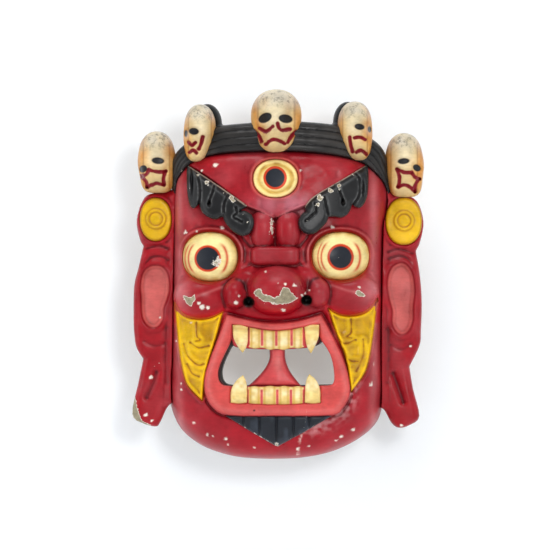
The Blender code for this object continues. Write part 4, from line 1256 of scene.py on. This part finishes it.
def painted(name, wear=0.5, gloss=0.33, specks=0.5):
    """Enamel over white primer over wood: brushed, knocked and rubbed, with painted shade in the creases, from the
    mesh's own values.
    """
    n = Nodes(name)
    broad, fine = n.noise(55, 5, 0.6), n.noise(330, 6, 0.65)
    brushed = n.noise(1.0, 4, 0.6, n.stretched((160, 160, 520)))
    edge, crease = n.attribute("edge"), n.attribute("crease")
    colour = n.attribute("paint", "Color")
    shade = n.blend(1.0, colour, n.spread(broad, 0.3, 0.7, 0.80, 1.16), "MULTIPLY")
    shade = n.blend(1.0, shade, n.spread(brushed, 0.3, 0.7, 0.93, 1.07), "MULTIPLY")
    # Painted shade: the colour goes darker red in creases.
    crease_shade = n.math("MULTIPLY", n.spread(crease, 0.15, 0.9), n.spread(fine, 0.3, 0.6, 0.45, 0.95))
    shade = n.blend(crease_shade, shade, n.blend(1.0, shade, (0.52, 0.34, 0.34, 1.0), "MULTIPLY"))
    dirt = n.math("MULTIPLY", n.attribute("dirt"), n.spread(n.noise(210, 8, 0.75), 0.50, 0.60))
    shade = n.blend(n.math("MULTIPLY", dirt, 0.75), shade, tone(92, 88, 80))

    knocks = n.math("ADD", n.math("MULTIPLY", fine, 0.75), n.math("MULTIPLY", broad, 0.45))
    knocks = n.math("ADD", knocks, n.math("MULTIPLY", edge, 0.30 * wear))
    knocks = n.math("MULTIPLY", n.math("SUBTRACT", knocks, 0.84), 22.0)
    ragged = n.math("MULTIPLY", n.math("SUBTRACT", fine, 0.5), 5.0)
    bare = n.math("MAXIMUM", n.math("ADD", n.attribute("bare"), ragged), knocks)
    size = n.spread(n.dots(105, "Color"), 0.72, 1.0, 0.0, 0.15 * specks)
    speck = n.spread(n.math("SUBTRACT", size, n.dots(105)), 0.0, 0.02)
    primer = n.math("MAXIMUM", n.spread(bare, 0.0, 0.3), speck)
    wood, grain = wood_tone(n)
    core = n.blend(n.spread(fine, 0.35, 0.65), tone(132, 122, 100), tone(166, 156, 128))
    shade = n.blend(primer, shade, n.blend(n.spread(fine, 0.3, 0.7), tone(214, 204, 186), tone(238, 232, 220)))
    shade = n.blend(n.spread(bare, 0.55, 0.85), shade, core)
    back = n.spread(n.attribute("wood"), 0.35, 0.65)
    n.put(n.blend(back, shade, wood), n.shader.inputs["Base Color"])

    rough = n.math("ADD", n.spread(broad, 0.3, 0.7, gloss - 0.06, gloss + 0.10), n.math("MULTIPLY", primer, 0.4))
    n.put(n.math("MAXIMUM", rough, n.math("MULTIPLY", back, 0.8), clamp=True), n.shader.inputs["Roughness"])
    n.shader.inputs["Specular IOR Level"].default_value = 0.2
    n.shader.inputs["Coat Weight"].default_value = 0.04
    n.shader.inputs["Coat Roughness"].default_value = 0.22
    relief = n.math("ADD", n.math("MULTIPLY", brushed, 0.30), n.math("MULTIPLY", fine, 0.20))
    relief = n.math("ADD", relief, n.math("MULTIPLY", back, n.math("MULTIPLY", grain, 0.9)))
    n.bump(n.math("SUBTRACT", relief, n.math("MULTIPLY", primer, 0.6)), 0.55, 0.00035)
    return n.material


def bare_wood():
    n = Nodes("bare_wood")
    wood, grain = wood_tone(n)
    n.put(wood, n.shader.inputs["Base Color"])
    n.put(n.spread(grain, 0.3, 0.7, 0.7, 0.85), n.shader.inputs["Roughness"])
    n.bump(grain, 0.5, 0.0003)
    return n.material


def steel():
    n = Nodes("zinc_plated_steel")
    worn, drawn = n.noise(500, 5, 0.6), n.noise(1.0, 3, 0.5, n.stretched((300, 300, 1800)))
    n.put(n.blend(n.spread(worn, 0.35, 0.7), tone(196, 196, 190), tone(140, 134, 122)), n.shader.inputs["Base Color"])
    n.shader.inputs["Metallic"].default_value = 1.0
    n.put(n.spread(worn, 0.3, 0.7, 0.28, 0.5), n.shader.inputs["Roughness"])
    n.bump(drawn, 0.3, 0.0001)
    return n.material


# ------------------------------------------------------------------ the mask's pieces


def make_mask():
    red = painted("red_enamel", wear=0.16, specks=0.45)
    pale = painted("bone_and_eye_enamel", wear=0.1, gloss=0.36, specks=0.1)
    black = painted("black_enamel", wear=0.3, gloss=0.32, specks=0.3)
    yellow = painted("yellow_enamel", wear=0.1, gloss=0.30, specks=0.1)
    pink = painted("pink_enamel", wear=0.15, gloss=0.32, specks=0.2)

    sculpt("face", ["face_shell"], ((-97, 0, -168), (102, 100, 111)), 1.0, face_field, face_paint, red)
    for side in ("left", "right"):
        sculpt(
            f"eye_{side}", [f"eyeball_{side}"], eye_box(side), 0.6,
            eye_field(side), eye_paint(side), pale,
        )
        sculpt(
            f"brow_{side}", [f"eyebrow_{side}"], box_of(BROWS[side], 24, 78), 0.6,
            laid_field(BROWS[side], 11.8, 3, 5, brow_relief(side)), brow_paint(side), black,
        )
        sculpt(
            f"cheek_{side}", [f"cheek_panel_{side}"], box_of(PANELS[side], 15, 66), 0.6,
            laid_field(PANELS[side], 2.6, 2, 2.5, panel_relief(side)), panel_paint(side), yellow,
        )
        sculpt(
            f"ear_with_lobe_{side}", [f"ear_{side}"], box_of(EARS[side], 2, 24), 0.75,
            ear_field(side), ear_paint(side), red,
        )
        cx, cz, wide, high = DISCS[side]
        disc_box = ((cx - wide - 1, 17, cz - high - 1), (cx + wide + 1, 25, cz + high + 1))
        sculpt(
            f"disc_{side}", [f"ear_disc_{side}"], disc_box, 0.55,
            disc_field(side), disc_paint(side), yellow,
        )
    sculpt("third_eye_ball", ["third_eye"], eye_box("third"), 0.4, eye_field("third"), third_eye_paint, pale)
    sculpt("lips", ["lip_frame"], box_of(LIPS, 30, 75), 0.7, lips_field, lips_paint, pink)
    rows = (
        ("upper_incisors", "upper_teeth", UPPER_TEETH, (-25.1, -12.9, -0.1, 13.6, 24.6), -50.5, -67.5),
        ("lower_incisors", "lower_teeth", LOWER_TEETH, (-26.0, -13.3, 0.8, 13.0, 24.7), -117, -102.5),
    )
    for name, node, teeth, gaps, gum, tips in rows:
        field = laid_field(teeth, 7.6, -0.5, 2.2, teeth_relief(gaps, gum, tips))
        sculpt(name, [node], box_of(teeth, 50, 73), 0.45, field, tooth_paint(gaps, gum, tips), pale)
    for name, outline in FANGS.items():
        gum, tips = (-50, -71) if "upper" in name else (-117, -92)
        sculpt(
            f"{name}_tooth", [name], box_of(outline, 48, 74), 0.45,
            laid_field(outline, 8.4, -0.5, 4, fang_relief), tooth_paint((), gum, tips), pale,
        )
    sculpt("tongue_flesh", ["tongue"], box_of(TONGUE, 46, 64), 0.6, tongue_field, tongue_paint, pink)
    sculpt(
        "chin_beard", ["beard"], box_of(BEARD, 30, 66), 0.6,
        laid_field(BEARD, 5.5, 3, 4, beard_relief), beard_paint, black,
    )
    sculpt("crown", ["crown_band"], ((-97, 0, 60), (106, 64, 154)), 0.8, crown_field, crown_paint, black)
    for name, facts in SKULLS.items():
        (cc, ch), (jc, jh) = facts["cranium"], facts["jaw"]
        low = (cc[0] - ch[0] - 4, cc[1] - ch[1], jc[2] - jh[2] - 2)
        high = (cc[0] + ch[0] + 4, cc[1] + ch[1] + 4, cc[2] + ch[2] + 2)
        sculpt(
            f"skull_of_crown_{name}", [f"skull_{name}"], (low, high), 0.6,
            skull_field(facts), skull_paint(facts), pale,
        )


def eye_box(side):
    (x, _, z), (wide, _, high), _, _ = EYES[side]
    return (x - wide - 1, 25, z - high - 1), (x + wide + 1, 72, z + high + 1)


make_mask()
for node, material in (("hanger_", steel()), ("peg", bare_wood())):
    for name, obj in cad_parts.items():
        if node in name:
            obj.data.materials.clear()
            obj.data.materials.append(material)


# ------------------------------------------------------------------ stage, light and camera


def flat(name, corners, material):
    mesh = bpy.data.meshes.new(name)
    mesh.from_pydata(corners, [], [(0, 1, 2, 3)])
    mesh.materials.append(material)
    obj = bpy.data.objects.new(name, mesh)
    bpy.context.scene.collection.objects.link(obj)
    return obj


def pale_surface(name, see_through_back):
    """Plain matt paint. The wall's glows faintly and can be looked through from behind."""
    material = bpy.data.materials.new(name)
    material.use_nodes = True
    tree = material.node_tree
    shader = tree.nodes["Principled BSDF"]
    shader.inputs["Base Color"].default_value = (0.90, 0.92, 0.94, 1)
    shader.inputs["Roughness"].default_value = 0.9
    if see_through_back:
        shader.inputs["Emission Color"].default_value = (0.84, 0.94, 1.0, 1)
        shader.inputs["Emission Strength"].default_value = 0.09
        side = tree.nodes.new("ShaderNodeNewGeometry")
        clear = tree.nodes.new("ShaderNodeBsdfTransparent")
        both = tree.nodes.new("ShaderNodeMixShader")
        tree.links.new(side.outputs["Backfacing"], both.inputs[0])
        tree.links.new(shader.outputs[0], both.inputs[1])
        tree.links.new(clear.outputs[0], both.inputs[2])
        tree.links.new(both.outputs[0], tree.nodes["Material Output"].inputs["Surface"])
    return material


def area_light(name, place, aim, size, power):
    light = bpy.data.lights.new(name, "AREA")
    light.shape, light.size, light.energy = "DISK", size, power
    obj = bpy.data.objects.new(name, light)
    obj.location = place
    obj.rotation_euler = (Vector(aim) - Vector(place)).to_track_quat("-Z", "Y").to_euler()
    bpy.context.scene.collection.objects.link(obj)


FLOOR_Z = CAD_BOX[0][2] - 0.16
WALL_Y, WALL_HALF_WIDTH, WALL_TOP = 0.06, 0.7, 0.8
FLOOR_HALF_WIDTH, FLOOR_HALF_DEPTH = 3, 4
wall_corners = [(x * WALL_HALF_WIDTH, WALL_Y, z) for x, z in ((-1, FLOOR_Z), (1, FLOOR_Z), (1, WALL_TOP), (-1, WALL_TOP))]
wall = flat("back_wall", wall_corners, pale_surface("wall_paint", True))
wall.visible_shadow = False
floor_corners = [(x * FLOOR_HALF_WIDTH, y * FLOOR_HALF_DEPTH, FLOOR_Z) for x, y in ((-1, -1), (1, -1), (1, 1), (-1, 1))]
flat("floor", floor_corners, pale_surface("floor_paint", False))

middle = (0, 0, MIDDLE)
area_light("key", (-0.15, -0.75, MIDDLE + 1.5), middle, 0.9, 11)
area_light("left", (-1.7, -0.9, MIDDLE + 0.1), middle, 1.1, 8)
area_light("right", (1.7, -0.9, MIDDLE), middle, 1.1, 5)
area_light("front", (0.75, -3.0, MIDDLE + 0.62), middle, 0.7, 25)
area_light("behind", (0.6, 1.8, MIDDLE + 0.9), middle, 1.6, 10)
world = bpy.data.worlds.new("studio")
world.use_nodes = True
world.node_tree.nodes["Background"].inputs["Color"].default_value = (0.95, 0.97, 1.0, 1)
world.node_tree.nodes["Background"].inputs["Strength"].default_value = 0.46
bpy.context.scene.world = world
bpy.context.scene.view_settings.view_transform = "Standard"

# The view is VIEW_WIDTH wide at FOCUS_DEPTH in front of the back plane; metres, but the sensor in mm.
CAMERA_DISTANCE, VIEW_WIDTH, FOCUS_DEPTH, SENSOR = 8.0, 0.495, 0.045, 36
camera_data = bpy.data.cameras.new("camera")
camera_data.sensor_width = SENSOR
camera_data.lens = SENSOR * (CAMERA_DISTANCE - FOCUS_DEPTH) / VIEW_WIDTH
camera = bpy.data.objects.new("camera", camera_data)
camera.location = (-0.0013, -CAMERA_DISTANCE, MIDDLE - 0.0018)
camera.rotation_euler = (math.pi / 2, 0, 0)
bpy.context.scene.collection.objects.link(camera)
bpy.context.scene.camera = camera
